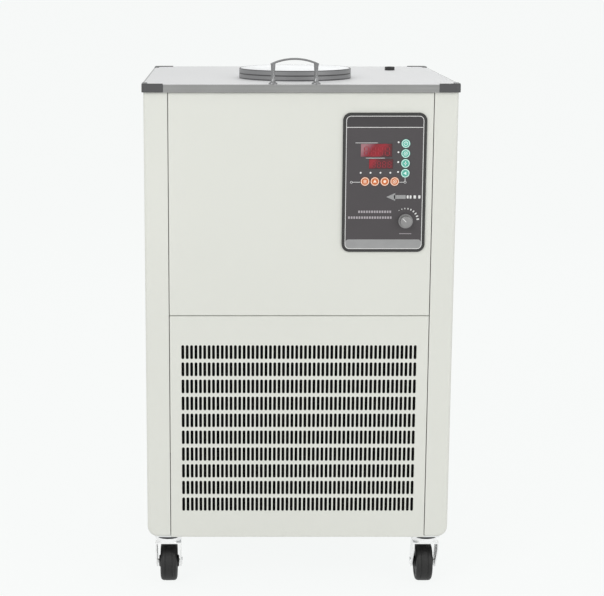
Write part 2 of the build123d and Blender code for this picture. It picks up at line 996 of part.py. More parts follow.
def fan_motor():
    """Motor on a four-armed spider that crosses the shroud's mouth."""
    front = shroud_back
    back = front + motor_arm_thickness
    reach = fan_radius + fan_tip_gap + motor_arm_overlap
    half = motor_arm_width / 2
    spider = block(-reach, reach, front, back, fan_z - half, fan_z + half)
    spider += block(-half, half, front, back, fan_z - reach, fan_z + reach)
    body = level_rod(0, fan_z, front, front + fan_motor_length, fan_motor_radius)
    body = fillet(body.edges().sort_by(Axis.Y)[-1], fan_motor_edge)
    bore = level_rod(0, fan_z, front - 1, front + fan_motor_length / 2, fan_shaft_radius + running_fit)
    return spider + body - bore


def condenser_fan():
    middle = shroud_back - shroud_depth / 2
    hub = level_rod(0, fan_z, middle - fan_hub_length / 2, middle + fan_hub_length / 2, fan_hub_radius)
    root, root_half, tip_half = fan_hub_radius - blade_overlap, blade_root_width / 2, blade_tip_width / 2
    corner = sqrt(fan_radius ** 2 - tip_half ** 2)
    for number in range(blade_count):
        outline = make_face(Polyline(
            (root, -root_half), (corner, -tip_half), (fan_radius, 0), (corner, tip_half), (root, root_half),
            close=True,
        ))
        blade = Pos(0, 0, -blade_thickness / 2) * extrude(outline, blade_thickness)
        blade = Rot(X=blade_pitch_angle) * blade
        hub += Pos(0, middle, fan_z) * Rot(Y=360 / blade_count * number) * Rot(X=90) * blade
    shaft_end = shroud_back + fan_motor_length / 2 - 2 * seat_gap
    return hub + level_rod(0, fan_z, middle + fan_hub_length / 2, shaft_end, fan_shaft_radius)


def compressor():
    """Welded shell with its domed top, terminal box and foot plate."""
    x, y, bottom = compressor_x, compressor_y, compressor_bottom
    shell = upright_rod(x, y, bottom, bottom + compressor_height, compressor_radius)
    shell = fillet(shell.edges().sort_by(Axis.Z)[-1], dome_radius)
    shell = chamfer(shell.edges().sort_by(Axis.Z)[0], shell_chamfer)
    weld_bottom = bottom + weld_height
    shell += upright_rod(x, y, weld_bottom, weld_bottom + weld_band, compressor_radius + weld_rise)
    shell += block(
        x - foot_plate_width / 2, x + foot_plate_width / 2,
        y - foot_plate_depth / 2, y + foot_plate_depth / 2,
        bottom - foot_plate_thickness, bottom,
    )
    box_bottom = bottom + terminal_box_bottom
    return shell + block(
        x, x + compressor_radius + terminal_box_reach,
        y - terminal_box_width / 2, y + terminal_box_width / 2,
        box_bottom, box_bottom + terminal_box_height,
    )


def compressor_grommets():
    feet = []
    for side_x in (-1, 1):
        for side_y in (-1, 1):
            x = compressor_x + side_x * (foot_plate_width / 2 - grommet_inset)
            y = compressor_y + side_y * (foot_plate_depth / 2 - grommet_inset)
            feet.append(upright_rod(x, y, base_top, base_top + grommet_height, grommet_radius))
    return feet


def filter_drier():
    """Copper shell with its ends spun down to the line's size."""
    x, y, z = drier_place()
    half = drier_length / 2
    shoulder = half - drier_radius
    neck = line_radius + line_clearance
    return turned(
        [
            (0, z - half),
            (neck, z - half),
            (drier_radius, z - shoulder),
            (drier_radius, z + shoulder),
            (neck, z + half),
            (0, z + half),
        ],
        x, y,
    )


def drier_place():
    x = condenser_width / 2 + drier_gap + drier_radius
    return x, condenser_back + 2 * drier_radius, fan_z - drier_drop


def refrigerant_lines():
    """Discharge line to the condenser, liquid line through the drier and suction line from the coil."""
    bend = 5 * line_radius
    (liquid_x, liquid_y), (suction_x, suction_y) = line_feet()
    drier_x, drier_y, drier_z = drier_place()
    shell_top = compressor_bottom + compressor_height
    above = condenser_top + 3 * bend
    header_x = condenser_width / 2 - header_inset
    header_y = (condenser_front + condenser_back) / 2
    out_x, out_y = compressor_x + discharge_offset_x, compressor_y + discharge_offset_y
    back_x, back_y = compressor_x + suction_offset_x, compressor_y
    discharge = pipe(
        [
            (out_x, out_y, shell_top),
            (out_x, out_y, above),
            (-header_x, header_y, above),
            (-header_x, header_y, condenser_top),
        ],
        bend, line_radius,
    )
    outlet_z = condenser_bottom + 2 * bend
    side = condenser_width / 2
    drier_bottom = drier_z - drier_length / 2
    feed = pipe(
        [
            (side, header_y, outlet_z - bend),
            (drier_x, header_y, outlet_z - bend),
            (drier_x, drier_y, outlet_z - bend),
            (drier_x, drier_y, drier_bottom),
        ],
        feed_bend, line_radius,
    )
    liquid = pipe(
        [
            (drier_x, drier_y, drier_z + drier_length / 2),
            (drier_x, drier_y, shelf_bottom - 2 * bend),
            (liquid_x, liquid_y, shelf_bottom - 2 * bend),
            (liquid_x, liquid_y, coil_bottom - coil_height / 2 - seat_gap),
        ],
        bend, line_radius,
    )
    suction = pipe(
        [
            (back_x, back_y, shell_top),
            (back_x, back_y, shelf_bottom - 3 * bend),
            (suction_x, suction_y, shelf_bottom - 3 * bend),
            (suction_x, suction_y, coil_top),
        ],
        bend, line_radius,
    )
    return [discharge, feed, liquid, suction]


# Drain and mains inlet

def drain_pipe():
    return pipe(
        [
            (drain_x, bath_y, tank_bottom),
            (drain_x, bath_y, drain_z),
            (drain_x, valve_front + pipe_socket_depth, drain_z),
        ],
        drain_bend, drain_radius, drain_wall,
    )


def drain_valve_body():
    """Ball valve with a hose spigot; its bore runs from the pipe's end to the spigot's mouth."""
    half = valve_width / 2
    body = block(drain_x - half, drain_x + half, valve_front, valve_back, drain_z - half, drain_z + half)
    body = chamfer(body.edges().filter_by(Axis.Y), valve_chamfer)
    body += level_rod(drain_x, drain_z, valve_back, spigot_end, drain_radius)
    ridge = Rot(X=-90) * Cone(
        drain_radius + ridge_rise, drain_radius, ridge_length, align=(Align.CENTER, Align.CENTER, Align.MIN)
    )
    for number in range(ridge_count):
        body += Pos(drain_x, spigot_end - (number + 1) * ridge_pitch, drain_z) * ridge
    body += upright_rod(drain_x, valve_y, drain_z, drain_z + half + bonnet_rise, stem_radius + bonnet_wall)
    socket_end = valve_front + pipe_socket_depth + seat_gap
    body -= level_rod(drain_x, drain_z, valve_front - 1, socket_end, drain_radius + running_fit)
    body -= level_rod(drain_x, drain_z, valve_front, spigot_end + 1, drain_radius - 2 * drain_wall)
    body -= Pos(drain_x, valve_y, drain_z) * Sphere(ball_radius + seat_gap)
    return body - upright_rod(
        drain_x, valve_y, drain_z, drain_z + half + bonnet_rise + 1, stem_radius + running_fit
    )


def valve_ball():
    """Bored ball with a slot for the stem's tang, turned across the pipe."""
    ball = Sphere(ball_radius) - cross_rod(-ball_radius, ball_radius, 0, 0, drain_radius - 2 * drain_wall)
    slot = block(
        -ball_radius, ball_radius, -tang_width / 2 - running_fit, tang_width / 2 + running_fit,
        ball_radius - tang_depth, ball_radius,
    )
    return Pos(drain_x, valve_y, drain_z) * (ball - slot)


def valve_lever():
    """Lever and stem, shown closed: the lever lies across the pipe."""
    y = valve_y
    bottom = drain_z + valve_width / 2 + bonnet_rise + seat_gap
    top = bottom + lever_thickness
    tang_foot = drain_z + ball_radius - tang_depth + seat_gap
    stem = upright_rod(drain_x, y, drain_z + ball_radius + seat_gap, top, stem_radius)
    stem += block(
        drain_x - tang_length / 2, drain_x + tang_length / 2, y - tang_width / 2, y + tang_width / 2,
        tang_foot, drain_z + ball_radius + seat_gap,
    )
    eye = upright_rod(drain_x, y, bottom, top, lever_width / 2 + 1)
    arm = block(drain_x, drain_x + lever_length, y - lever_width / 2, y + lever_width / 2, bottom, top)
    arm = fillet(arm.edges().filter_by(Axis.Z).group_by(Axis.X)[-1], lever_width / 2 - 0.5)
    grip = block(
        drain_x + grip_start, drain_x + grip_end, y - lever_width / 2, y + lever_width / 2,
        top, top + grip_rise,
    )
    return stem + eye + arm + grip


def mains_inlet():
    """Three-pin inlet let into the rear panel."""
    back = body_y + inlet_flange_thickness
    flange = facing_plate(
        inlet_x, inlet_height, body_y, back,
        RectangleRounded(inlet_width + 2 * inlet_flange, inlet_tall + 2 * inlet_flange, inlet_flange),
    )
    shell = facing_plate(
        inlet_x, inlet_height, body_y - inlet_depth, body_y, Rectangle(inlet_width, inlet_tall)
    )
    floor = body_y - inlet_depth + inlet_wall
    well = facing_plate(
        inlet_x, inlet_height, floor, back + 1,
        RectangleRounded(inlet_width - 2 * inlet_wall, inlet_tall - 2 * inlet_wall, inlet_wall),
    )
    inlet = flange + shell - well
    pin = Rectangle(pin_width, pin_height)
    for x, z in ((0, -pin_spread), (0, pin_spread), (-pin_offset, 0)):
        inlet += facing_plate(inlet_x + x, inlet_height + z, floor, body_y - pin_recess, pin)
    return inlet


# Castors, drawn with the kingpin at X = 0, Y = 0 and the wheel trailing towards +Y

def castor_plates():
    half = castor_plate / 2
    mount_bottom = castor_height - castor_plate_thickness
    outline = RectangleRounded(castor_plate, castor_plate, castor_plate / 10)
    plate = Pos(0, 0, mount_bottom) * extrude(outline, castor_plate_thickness)
    plate += upright_rod(0, 0, race_bottom, mount_bottom, race_radius)
    head_top = crown_bottom - seat_gap
    plate += upright_rod(0, 0, head_top, race_bottom, kingpin_radius)
    plate += upright_rod(0, 0, head_top - kingpin_head_height, head_top, kingpin_head_radius)
    return [at_corner(corner, plate) for corner in corners]


def castor_fork():
    """Pressed fork with its raceway and riveted axle."""
    crown_top = crown_bottom + fork_sheet
    front = race_radius - fork_sheet
    eye = Pos(castor_trail, wheel_radius) * Circle(fork_eye_radius)
    tall = fork_sheet + cheek_drop
    shoulder = Pos(0, crown_top - tall / 2) * Rectangle(2 * front, tall)
    side = make_hull(eye.edges() + shoulder.edges())
    across = Plane(origin=(-fork_width / 2, 0, 0), x_dir=(0, 1, 0), z_dir=(1, 0, 0))
    fork = extrude(across * side, fork_width)
    gap = fork_width / 2 - fork_sheet
    fork -= block(-gap, gap, -4 * front, 4 * front, -1, crown_bottom)
    fork += upright_rod(0, 0, crown_top, fork_top, race_radius)
    fork -= upright_rod(0, 0, crown_bottom - 1, fork_top + 1, kingpin_radius + running_fit)
    half = fork_width / 2
    fork += cross_rod(-half, half, castor_trail, wheel_radius, axle_radius)
    for side_x in (-1, 1):
        inner, outer = sorted((side_x * half, side_x * (half + axle_head_height)))
        fork += cross_rod(inner, outer, castor_trail, wheel_radius, axle_head_radius)
    return fork


def castor_wheel():
    """Moulded wheel: widest at the hub, with a crowned tread."""
    hub, tread = hub_width / 2, tread_width / 2
    bore = axle_radius + running_fit
    shoulder = wheel_radius - tread_shoulder
    sides = Polyline(
        (tread, shoulder), (hub, hub_radius), (hub, bore),
        (-hub, bore), (-hub, hub_radius), (-tread, shoulder),
    )
    crown = tread - tread_shoulder
    rise = wheel_radius - tread_shoulder / 8
    tread_line = Polyline(
        (-tread, shoulder), (-crown, rise), (-crown / 2, wheel_radius), (crown / 2, wheel_radius),
        (crown, rise), (tread, shoulder),
    )
    outline = make_face(sides + tread_line)
    return Pos(0, castor_trail, wheel_radius) * revolve(outline, Axis.X)


def at_corner(corner, piece):
    side_x, side_y = corners[corner]
    turn = 0 if side_y < 0 else 180
    return Pos(side_x * castor_x, side_y * castor_y, 0) * Rot(Z=turn) * piece


def write(node, pieces):
    """One STEP file for a node: a single solid, or a list of like ones."""
    solids = pieces if isinstance(pieces, list) else [pieces]
    placed = [Pos(0, frame_shift, 0) * solid for solid in solids]
    shape = placed[0] if len(placed) == 1 else Compound(placed)
    export_step(shape, "parts/" + node + ".step")


def main():
    os.makedirs("parts", exist_ok=True)
    right = side_cover_right()
    write("side_cover_right", right)
    write("side_cover_left", mirror(right, Plane.YZ))
    for make in (
        upper_front_panel, lower_grille_panel, rear_panel, base_pan, inner_frame, bath_shelf, worktop,
        edge_trims, corner_caps, bath_tank, bath_collar, bath_insulation, lid_rim,
        lid_disc, lid_plug, evaporator_coil, stirrer_motor, stirrer_magnet, pull_handle, rod_socket,
        control_bezel, control_fascia, display_modules, indicator_lamps, control_board,
        speed_potentiometer, speed_knob, dust_filter, condenser, fan_shroud, fan_motor, condenser_fan,
        compressor, compressor_grommets, filter_drier, refrigerant_lines, drain_pipe, drain_valve_body,
        valve_ball, valve_lever, mains_inlet, castor_plates,
    ):
        write(make.__name__, make())
    for colour, number, x, z in key_places():
        write(f"{colour}_key_{number}", panel_key(x, z))
    fork, wheel = castor_fork(), castor_wheel()
    for corner in corners:
        write("castor_fork_" + corner, at_corner(corner, fork))
        write("castor_wheel_" + corner, at_corner(corner, wheel))


main()
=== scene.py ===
import math

import bpy
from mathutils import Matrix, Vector


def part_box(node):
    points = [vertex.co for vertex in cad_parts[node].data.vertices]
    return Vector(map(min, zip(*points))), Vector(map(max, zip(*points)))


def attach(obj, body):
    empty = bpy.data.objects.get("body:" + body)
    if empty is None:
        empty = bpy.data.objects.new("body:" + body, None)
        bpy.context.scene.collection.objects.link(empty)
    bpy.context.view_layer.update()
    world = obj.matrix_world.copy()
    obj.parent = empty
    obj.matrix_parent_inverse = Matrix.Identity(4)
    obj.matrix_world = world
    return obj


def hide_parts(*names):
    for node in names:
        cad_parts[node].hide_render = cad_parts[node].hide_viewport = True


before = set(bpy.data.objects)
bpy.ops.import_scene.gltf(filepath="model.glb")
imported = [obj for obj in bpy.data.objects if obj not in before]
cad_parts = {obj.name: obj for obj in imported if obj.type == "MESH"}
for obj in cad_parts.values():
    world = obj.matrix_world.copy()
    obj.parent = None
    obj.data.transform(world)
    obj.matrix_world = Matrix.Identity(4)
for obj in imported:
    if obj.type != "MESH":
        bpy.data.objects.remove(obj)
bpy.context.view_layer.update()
print("frame loaded:", len(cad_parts), "nodes")


# small helpers

mergeDistance = 0.000001
hair = 0.00001  # keeps what lies on an edge on the wanted side of a cut or a choice


def fromScreen(red, green, blue):
    # a colour as read off a screen, 0 to 255, made linear
    linear = []
    for value in (red, green, blue):
        share = value / 255
        linear.append(share / 12.92 if share <= 0.04045 else ((share + 0.055) / 1.055) ** 2.4)
    return tuple(linear)


def middleOf(node):
    low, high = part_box(node)
    return (low + high) / 2


def footOf(node):
    # the middle of a node's underside
    middle = middleOf(node)
    return Vector((middle.x, middle.y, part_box(node)[0].z))


def halfWidthOf(node):
    low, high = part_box(node)
    return (high.x - low.x) / 2


def selectOnly(*chosen):
    if bpy.context.object and bpy.context.object.mode != "OBJECT":
        bpy.ops.object.mode_set(mode="OBJECT")
    bpy.ops.object.select_all(action="DESELECT")
    for piece in chosen:
        piece.select_set(True)
    if chosen:
        bpy.context.view_layer.objects.active = chosen[0]


def selectAll():
    bpy.ops.mesh.select_all(action="SELECT")


def pushOut(step):
    # extrudes what is selected by a step
    bpy.ops.mesh.extrude_region_move(TRANSFORM_OT_translate={"value": step})


def startEdit():
    bpy.ops.object.mode_set(mode="EDIT")
    selectAll()


def closeEdit():
    selectAll()
    bpy.ops.mesh.remove_doubles(threshold=mergeDistance)
    bpy.ops.mesh.normals_make_consistent(inside=False)
    bpy.ops.object.mode_set(mode="OBJECT")


def applyAll(piece):
    selectOnly(piece)
    for modifier in list(piece.modifiers):
        bpy.ops.object.modifier_apply(modifier=modifier.name)


def joinAll(pieces):
    selectOnly(*pieces)
    if len(pieces) > 1:
        bpy.ops.object.join()
    return bpy.context.object


def placeInMesh(piece):
    # leaves the object at the origin, unturned and unscaled
    selectOnly(piece)
    bpy.ops.object.transform_apply(location=True, rotation=True, scale=True)


def combine(piece, other, operation):
    # welds the other piece on, or cuts it away
    change = piece.modifiers.new(operation.lower(), "BOOLEAN")
    change.operation = operation
    change.solver = "EXACT"
    change.object = other
    applyAll(piece)
    bpy.data.objects.remove(other)


def copyTo(model, places, signs=None):
    # a copy at each place, mirrored where its two signs say so, and all joined in one
    copies = []
    for number, place in enumerate(places):
        item = model.copy()
        item.data = model.data.copy()
        bpy.context.scene.collection.objects.link(item)
        item.location = place
        if signs:
            item.scale = (*signs[number], 1)
        placeInMesh(item)
        copies.append(item)
    bpy.data.objects.remove(model)
    return joinAll(copies)


def settle(piece, name, body, finish, slot, *replaced, smoothAngle=35):
    # names the piece, bakes its place into its mesh, gives it its finish and its body
    placeInMesh(piece)
    bpy.ops.object.shade_smooth_by_angle(angle=math.radians(smoothAngle))
    piece.name = piece.data.name = name
    piece.data.materials.clear()
    piece.data.materials.append(finish)
    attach(piece, body)
    if replaced:
        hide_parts(*replaced)


def turnAlong(centre, axis, profile, segments, ring=False):
    # a turned shape: a circle pushed along an axis through (radius, distance) steps
    axis = Vector(axis)
    tilt = (math.pi / 2 * abs(axis.y), math.pi / 2 * abs(axis.x), 0)
    selectOnly()
    radius, distance = profile[0]
    bpy.ops.mesh.primitive_circle_add(
        vertices=segments, radius=radius, fill_type="NOTHING" if ring else "NGON",
        location=centre + axis * distance, rotation=tilt)
    piece = bpy.context.object
    startEdit()
    for (wasRadius, wasDistance), (radius, distance) in zip(profile, profile[1:]):
        pushOut(axis * (distance - wasDistance))
        bpy.ops.transform.resize(value=(radius / wasRadius,) * 3,
                                 center_override=centre + axis * distance)
    closeEdit()
    return piece


# finishes

def newFinish(name, metallic=0.0, roughness=0.5, coat=0.0):
    finish = bpy.data.materials.new(name)
    finish.use_nodes = True
    tree = finish.node_tree
    shader = tree.nodes["Principled BSDF"]
    shader.inputs["Metallic"].default_value = metallic
    shader.inputs["Roughness"].default_value = roughness
    shader.inputs["Coat Weight"].default_value = coat
    place = tree.nodes.new("ShaderNodeTexCoord").outputs["Object"]
    return finish, tree, shader, place


def addNoise(tree, place, size, stretch=(1, 1, 1), detail=3.0):
    # size is the grain in metres
    mapping = tree.nodes.new("ShaderNodeMapping")
    mapping.inputs["Scale"].default_value = stretch
    noise = tree.nodes.new("ShaderNodeTexNoise")
    noise.inputs["Scale"].default_value = 1 / size
    noise.inputs["Detail"].default_value = detail
    tree.links.new(place, mapping.inputs["Vector"])
    tree.links.new(mapping.outputs["Vector"], noise.inputs["Vector"])
    return noise.outputs["Fac"]


def colourBy(tree, shader, factor, stops):
    # a ramp of (position, colour) stops over the factor
    ramp = tree.nodes.new("ShaderNodeValToRGB")
    elements = ramp.color_ramp.elements
    while len(elements) < len(stops):
        elements.new(0.5)
    for element, (position, colour) in zip(elements, stops):
        element.position = position
        element.color = (*colour, 1)
    tree.links.new(factor, ramp.inputs["Fac"])
    tree.links.new(ramp.outputs["Color"], shader.inputs["Base Color"])


def addRange(tree, factor, low, high, fromLow=0.3, fromHigh=0.7):
    spread = tree.nodes.new("ShaderNodeMapRange")
    spread.inputs["From Min"].default_value = fromLow
    spread.inputs["From Max"].default_value = fromHigh
    spread.inputs["To Min"].default_value = low
    spread.inputs["To Max"].default_value = high
    tree.links.new(factor, spread.inputs["Value"])
    return spread.outputs["Result"]


def glossBy(tree, shader, factor, low, high):
    tree.links.new(addRange(tree, factor, low, high), shader.inputs["Roughness"])


def addBump(tree, shader, height, strength, depth):
    bump = tree.nodes.new("ShaderNodeBump")
    bump.inputs["Strength"].default_value = strength
    bump.inputs["Distance"].default_value = depth
    tree.links.new(height, bump.inputs["Height"])
    tree.links.new(bump.outputs["Normal"], shader.inputs["Normal"])


def addMath(tree, operation, *values):
    # each value is a number or another node's output
    node = tree.nodes.new("ShaderNodeMath")
    node.operation = operation
    for socket, value in zip(node.inputs, values):
        if isinstance(value, float):
            socket.default_value = value
        else:
            tree.links.new(value, socket)
    return node.outputs["Value"]


def splitPlace(tree, place):
    split = tree.nodes.new("ShaderNodeSeparateXYZ")
    tree.links.new(place, split.inputs["Vector"])
    return split.outputs


def driftingTone(tree, shader, factor, colour, variation, low, high):
    # a colour as read off a screen, and a slightly darker one where the factor is low
    colour = fromScreen(*colour)
    dark = tuple(value * variation for value in colour)
    colourBy(tree, shader, factor, [(low, dark), (high, colour)])


def grainedFinish(name, colour, grain, relief, roughness, variation=0.96, patch=0.25,
                  stretch=(1, 1, 1), depth=0.0002, metallic=0.0, coat=0.0):
    # slow drift of tone over patches, and a fine grain in the surface and its gloss
    finish, tree, shader, place = newFinish(name, metallic=metallic, coat=coat)
    drift = addNoise(tree, place, patch, detail=2.0)
    fine = addNoise(tree, place, grain, stretch)
    driftingTone(tree, shader, drift, colour, variation, 0.35, 0.65)
    glossBy(tree, shader, fine, *roughness)
    addBump(tree, shader, fine, relief, depth)
    return finish


def addDistance(tree, place, centre, flatten):
    # distance from a line through centre; flatten drops the coordinate along that line
    shift = tree.nodes.new("ShaderNodeVectorMath")
    shift.operation = "SUBTRACT"
    shift.inputs[1].default_value = centre
    flat = tree.nodes.new("ShaderNodeVectorMath")
    flat.operation = "MULTIPLY"
    flat.inputs[1].default_value = flatten
    length = tree.nodes.new("ShaderNodeVectorMath")
    length.operation = "LENGTH"
    tree.links.new(place, shift.inputs[0])
    tree.links.new(shift.outputs["Vector"], flat.inputs[0])
    tree.links.new(flat.outputs["Vector"], length.inputs[0])
    return length.outputs["Value"]


def turnedFinish(name, colour, centre, flatten, roughness, metallic=1.0, ringSize=0.0006,
                 variation=0.9):
    # rings left by turning or spinning, round a line through centre
    finish, tree, shader, place = newFinish(name, metallic=metallic)
    distance = addDistance(tree, place, centre, flatten)
    rings = tree.nodes.new("ShaderNodeTexNoise")
    rings.noise_dimensions = "1D"
    rings.inputs["Scale"].default_value = 1 / ringSize
    rings.inputs["Detail"].default_value = 4.0
    tree.links.new(distance, rings.inputs["W"])
    cloud = addNoise(tree, place, size=0.05)
    driftingTone(tree, shader, cloud, colour, variation, 0.3, 0.7)
    glossBy(tree, shader, rings.outputs["Fac"], *roughness)
    addBump(tree, shader, rings.outputs["Fac"], strength=0.12, depth=0.0001)
    return finish


# colours as read off a screen, and sizes in metres
casingPaint = grainedFinish("casingPaint", (222, 223, 215), variation=0.975, patch=0.4,
                            grain=0.0011, relief=0.1, roughness=(0.38, 0.47))
worktopLaminate = grainedFinish("worktopLaminate", (226, 226, 226), variation=0.985, patch=0.3,
                                grain=0.0025, relief=0.05, roughness=(0.5, 0.6))
edgeAluminium = grainedFinish("edgeAluminium", (156, 156, 155), variation=0.93, patch=0.08,
                              grain=0.0005, stretch=(0.02, 0.02, 1), relief=0.1,
                              roughness=(0.3, 0.42), metallic=0.8)
capPlastic = grainedFinish("capPlastic", (76, 76, 77), grain=0.0007, relief=0.2,
                           roughness=(0.5, 0.6))
bezelPlastic = grainedFinish("bezelPlastic", (47, 47, 46), grain=0.0006, relief=0.25,
                             roughness=(0.45, 0.58))
blackPlastic = grainedFinish("blackPlastic", (30, 30, 31), grain=0.0007, relief=0.2,
                             roughness=(0.4, 0.55))
castZinc = grainedFinish("castZinc", (138, 138, 139), variation=0.9, patch=0.03, grain=0.0008,
                         relief=0.12, roughness=(0.22, 0.34), metallic=0.9)
brightZinc = grainedFinish("brightZinc", (250, 250, 250), variation=0.95, patch=0.012, grain=0.0009,
                           relief=0.05, roughness=(0.18, 0.3), metallic=0.75)
raceSteel = grainedFinish("raceSteel", (150, 152, 154), variation=0.85, patch=0.02, grain=0.0009,
                          relief=0.1, roughness=(0.3, 0.45), metallic=0.9)
galvanised = grainedFinish("galvanised", (185, 188, 190), variation=0.8, patch=0.018, grain=0.004,
                           relief=0.08, roughness=(0.35, 0.55), metallic=0.85)
foamYellow = grainedFinish("foamYellow", (222, 210, 168), variation=0.88, patch=0.03, grain=0.0022,
                           relief=0.6, depth=0.001, roughness=(0.8, 0.95))
copperTube = grainedFinish("copperTube", (200, 128, 92), variation=0.8, patch=0.03, grain=0.0012,
                           relief=0.08, roughness=(0.25, 0.42), metallic=1.0)
brassBody = grainedFinish("brassBody", (198, 170, 102), variation=0.88, patch=0.015, grain=0.0006,
                          relief=0.1, roughness=(0.25, 0.38), metallic=1.0)
finAluminium = grainedFinish("finAluminium", (190, 191, 193), variation=0.9, patch=0.05,
                             grain=0.0007, stretch=(1, 1, 0.03), relief=0.15, roughness=(0.35, 0.5),
                             metallic=0.9)
glossBlack = grainedFinish("glossBlack", (34, 34, 36), grain=0.0012, relief=0.06,
                           roughness=(0.2, 0.3), coat=0.4)
fanPlastic = grainedFinish("fanPlastic", (38, 38, 38), grain=0.0008, relief=0.15,
                           roughness=(0.45, 0.55))
softRubber = grainedFinish("softRubber", (36, 36, 35), grain=0.001, relief=0.3,
                           roughness=(0.65, 0.8))
dippedRed = grainedFinish("dippedRed", (176, 34, 30), variation=0.9, patch=0.01, grain=0.0014,
                          relief=0.1, roughness=(0.3, 0.42), coat=0.3)
keyOrange = grainedFinish("keyOrange", (204, 108, 50), variation=0.93, patch=0.004, grain=0.0005,
                          relief=0.08, roughness=(0.3, 0.4), coat=0.3)
keyGreen = grainedFinish("keyGreen", (84, 178, 158), variation=0.92, patch=0.004, grain=0.0005,
                         relief=0.08, roughness=(0.3, 0.4), coat=0.3)
lampWhite = grainedFinish("lampWhite", (240, 240, 238), patch=0.001, grain=0.0006, relief=0.05,
                          roughness=(0.2, 0.3), coat=0.5)
boardGreen = grainedFinish("boardGreen", (40, 112, 66), variation=0.8, patch=0.006, grain=0.0012,
                           relief=0.3, roughness=(0.35, 0.5))
filmDark = grainedFinish("filmDark", (69, 65, 67), variation=0.95, patch=0.06, grain=0.0004,
                         relief=0.15, roughness=(0.42, 0.52))
titleFilm = grainedFinish("titleFilm", (56, 53, 55), variation=0.95, patch=0.06, grain=0.0004,
                          relief=0.15, roughness=(0.42, 0.52))
silverFilm = grainedFinish("silverFilm", (157, 157, 157), variation=0.93, patch=0.03, grain=0.0006,
                           stretch=(0.03, 1, 1), relief=0.1, roughness=(0.35, 0.45), metallic=0.3)
whiteInk = grainedFinish("whiteInk", (228, 228, 226), variation=0.95, patch=0.01, grain=0.0004,
                         relief=0.1, roughness=(0.5, 0.6))
greyInk = grainedFinish("greyInk", (172, 166, 170), variation=0.92, patch=0.01, grain=0.0004,
                        relief=0.1, roughness=(0.5, 0.6))
# dark rubber of the ring under the lid's rim: it paints the shade in the joint
jointShadeRubber = grainedFinish("jointShadeRubber", (70, 70, 70), grain=0.001, relief=0.2, roughness=(0.6, 0.75))

lidCentre = middleOf("lid_disc")
lidSteel = turnedFinish("lidSteel", (230, 231, 232), lidCentre, (1, 1, 0), metallic=0.6,
                        roughness=(0.36, 0.48))
tankSteel = turnedFinish("tankSteel", (206, 208, 210), lidCentre, (1, 1, 0), roughness=(0.25, 0.4))
knobCentre = middleOf("speed_knob")
knobSilver = turnedFinish("knobSilver", (147, 146, 146), knobCentre, (1, 0, 1), metallic=0.6,
                          roughness=(0.3, 0.42), ringSize=0.0004)


filterCells = {"size": 0.002, "relief": 0.6, "depth": 0.001}


def makeShadeFilterFoam():
    # open cells, almost black: the near-black foam paints the shade inside the intake, seen through
    # the slots
    finish, tree, shader, place = newFinish("shadeFilterFoam", roughness=0.95)
    cells = tree.nodes.new("ShaderNodeTexVoronoi")
    cells.inputs["Scale"].default_value = 1 / filterCells["size"]
    tree.links.new(place, cells.inputs["Vector"])
    # near-black tones that stand in for the shade behind the grille's slots
    colours = [(0.2, fromScreen(2, 2, 2)), (0.7, fromScreen(16, 16, 16))]
    colourBy(tree, shader, cells.outputs["Distance"], colours)
    shader.inputs["Specular IOR Level"].default_value = 0.1
    addBump(tree, shader, cells.outputs["Distance"], filterCells["relief"], filterCells["depth"])
    return finish


def makeLidGreyPaintedShade():
    # satin grey, with painted shade as darker bands round the foot on the worktop, in the joint
    # under the rim and along the rim's top edge
    low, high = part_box("bath_collar")[0].z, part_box("lid_rim")[1].z
    finish, tree, shader, place = newFinish("lidGreyPaintedShade", metallic=0.25)
    share = addRange(tree, splitPlace(tree, place)["Z"], 0.0, 1.0, low, high)
    plain, dark = fromScreen(132, 132, 133), fromScreen(78, 78, 80)
    joint = (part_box("lid_rim")[0].z - low) / (high - low)
    # the dark stops are painted shade: at the foot, in the joint and along the rim's top edge
    stops = [(0.09, dark), (0.14, plain), (joint - 0.07, plain), (joint - 0.02, dark),
             (joint + 0.04, dark), (joint + 0.09, plain), (0.9, plain), (0.95, dark)]
    colourBy(tree, shader, share, stops)
    fine = addNoise(tree, place, 0.0006, (1, 1, 0.15))
    glossBy(tree, shader, fine, 0.35, 0.48)
    addBump(tree, shader, fine, strength=0.1, depth=0.0002)
    return finish


# size and spread of the painted reflection on the display windows
paintedReflection = {"downShare": 0.55, "waveSize": 0.004, "waveShare": 0.08}


def makeDisplayRedPaintedReflection():
    # tinted window: deep red, with a painted reflection as a paler corner at its upper left
    finish, tree, shader, place = newFinish("displayRedPaintedReflection", roughness=0.16, coat=0.25)
    low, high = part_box("display_modules")
    split = splitPlace(tree, place)
    across = addRange(tree, split["X"], 0.0, 1.0, low.x, high.x)
    down = addRange(tree, split["Z"], 0.0, paintedReflection["downShare"], high.z, low.z)
    wave = addMath(tree, "MULTIPLY_ADD", addNoise(tree, place, paintedReflection["waveSize"]),
                   paintedReflection["waveShare"], addMath(tree, "ADD", across, down))
    # the two pale stops paint the reflection; the last stop makes the window darker towards its
    # lower right
    stops = [(0.2, fromScreen(160, 112, 118)), (0.42, fromScreen(132, 60, 74)),
             (0.52, fromScreen(128, 14, 30)), (0.8, fromScreen(150, 18, 36)),
             (1.0, fromScreen(84, 24, 32))]
    colourBy(tree, shader, wave, stops)
    return finish


racewayHeight = 0.008  # of the swivel bearing, down from the plates' top


def makeSplitSteel():
    # bright plated steel above the raceway, and near black over the raceway's band below it
    finish, tree, shader, place = newFinish("splitSteel", metallic=0.8, roughness=0.3)
    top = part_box("castor_plates")[1].z
    share = addRange(tree, splitPlace(tree, place)["Z"], 0.0, 1.0, top - racewayHeight, top)
    stops = [(0.0, fromScreen(44, 45, 46)), (0.52, fromScreen(52, 53, 54)),
             (0.62, fromScreen(236, 238, 238))]
    colourBy(tree, shader, share, stops)
    addBump(tree, shader, addNoise(tree, place, 0.0009), strength=0.1, depth=0.0002)
    return finish


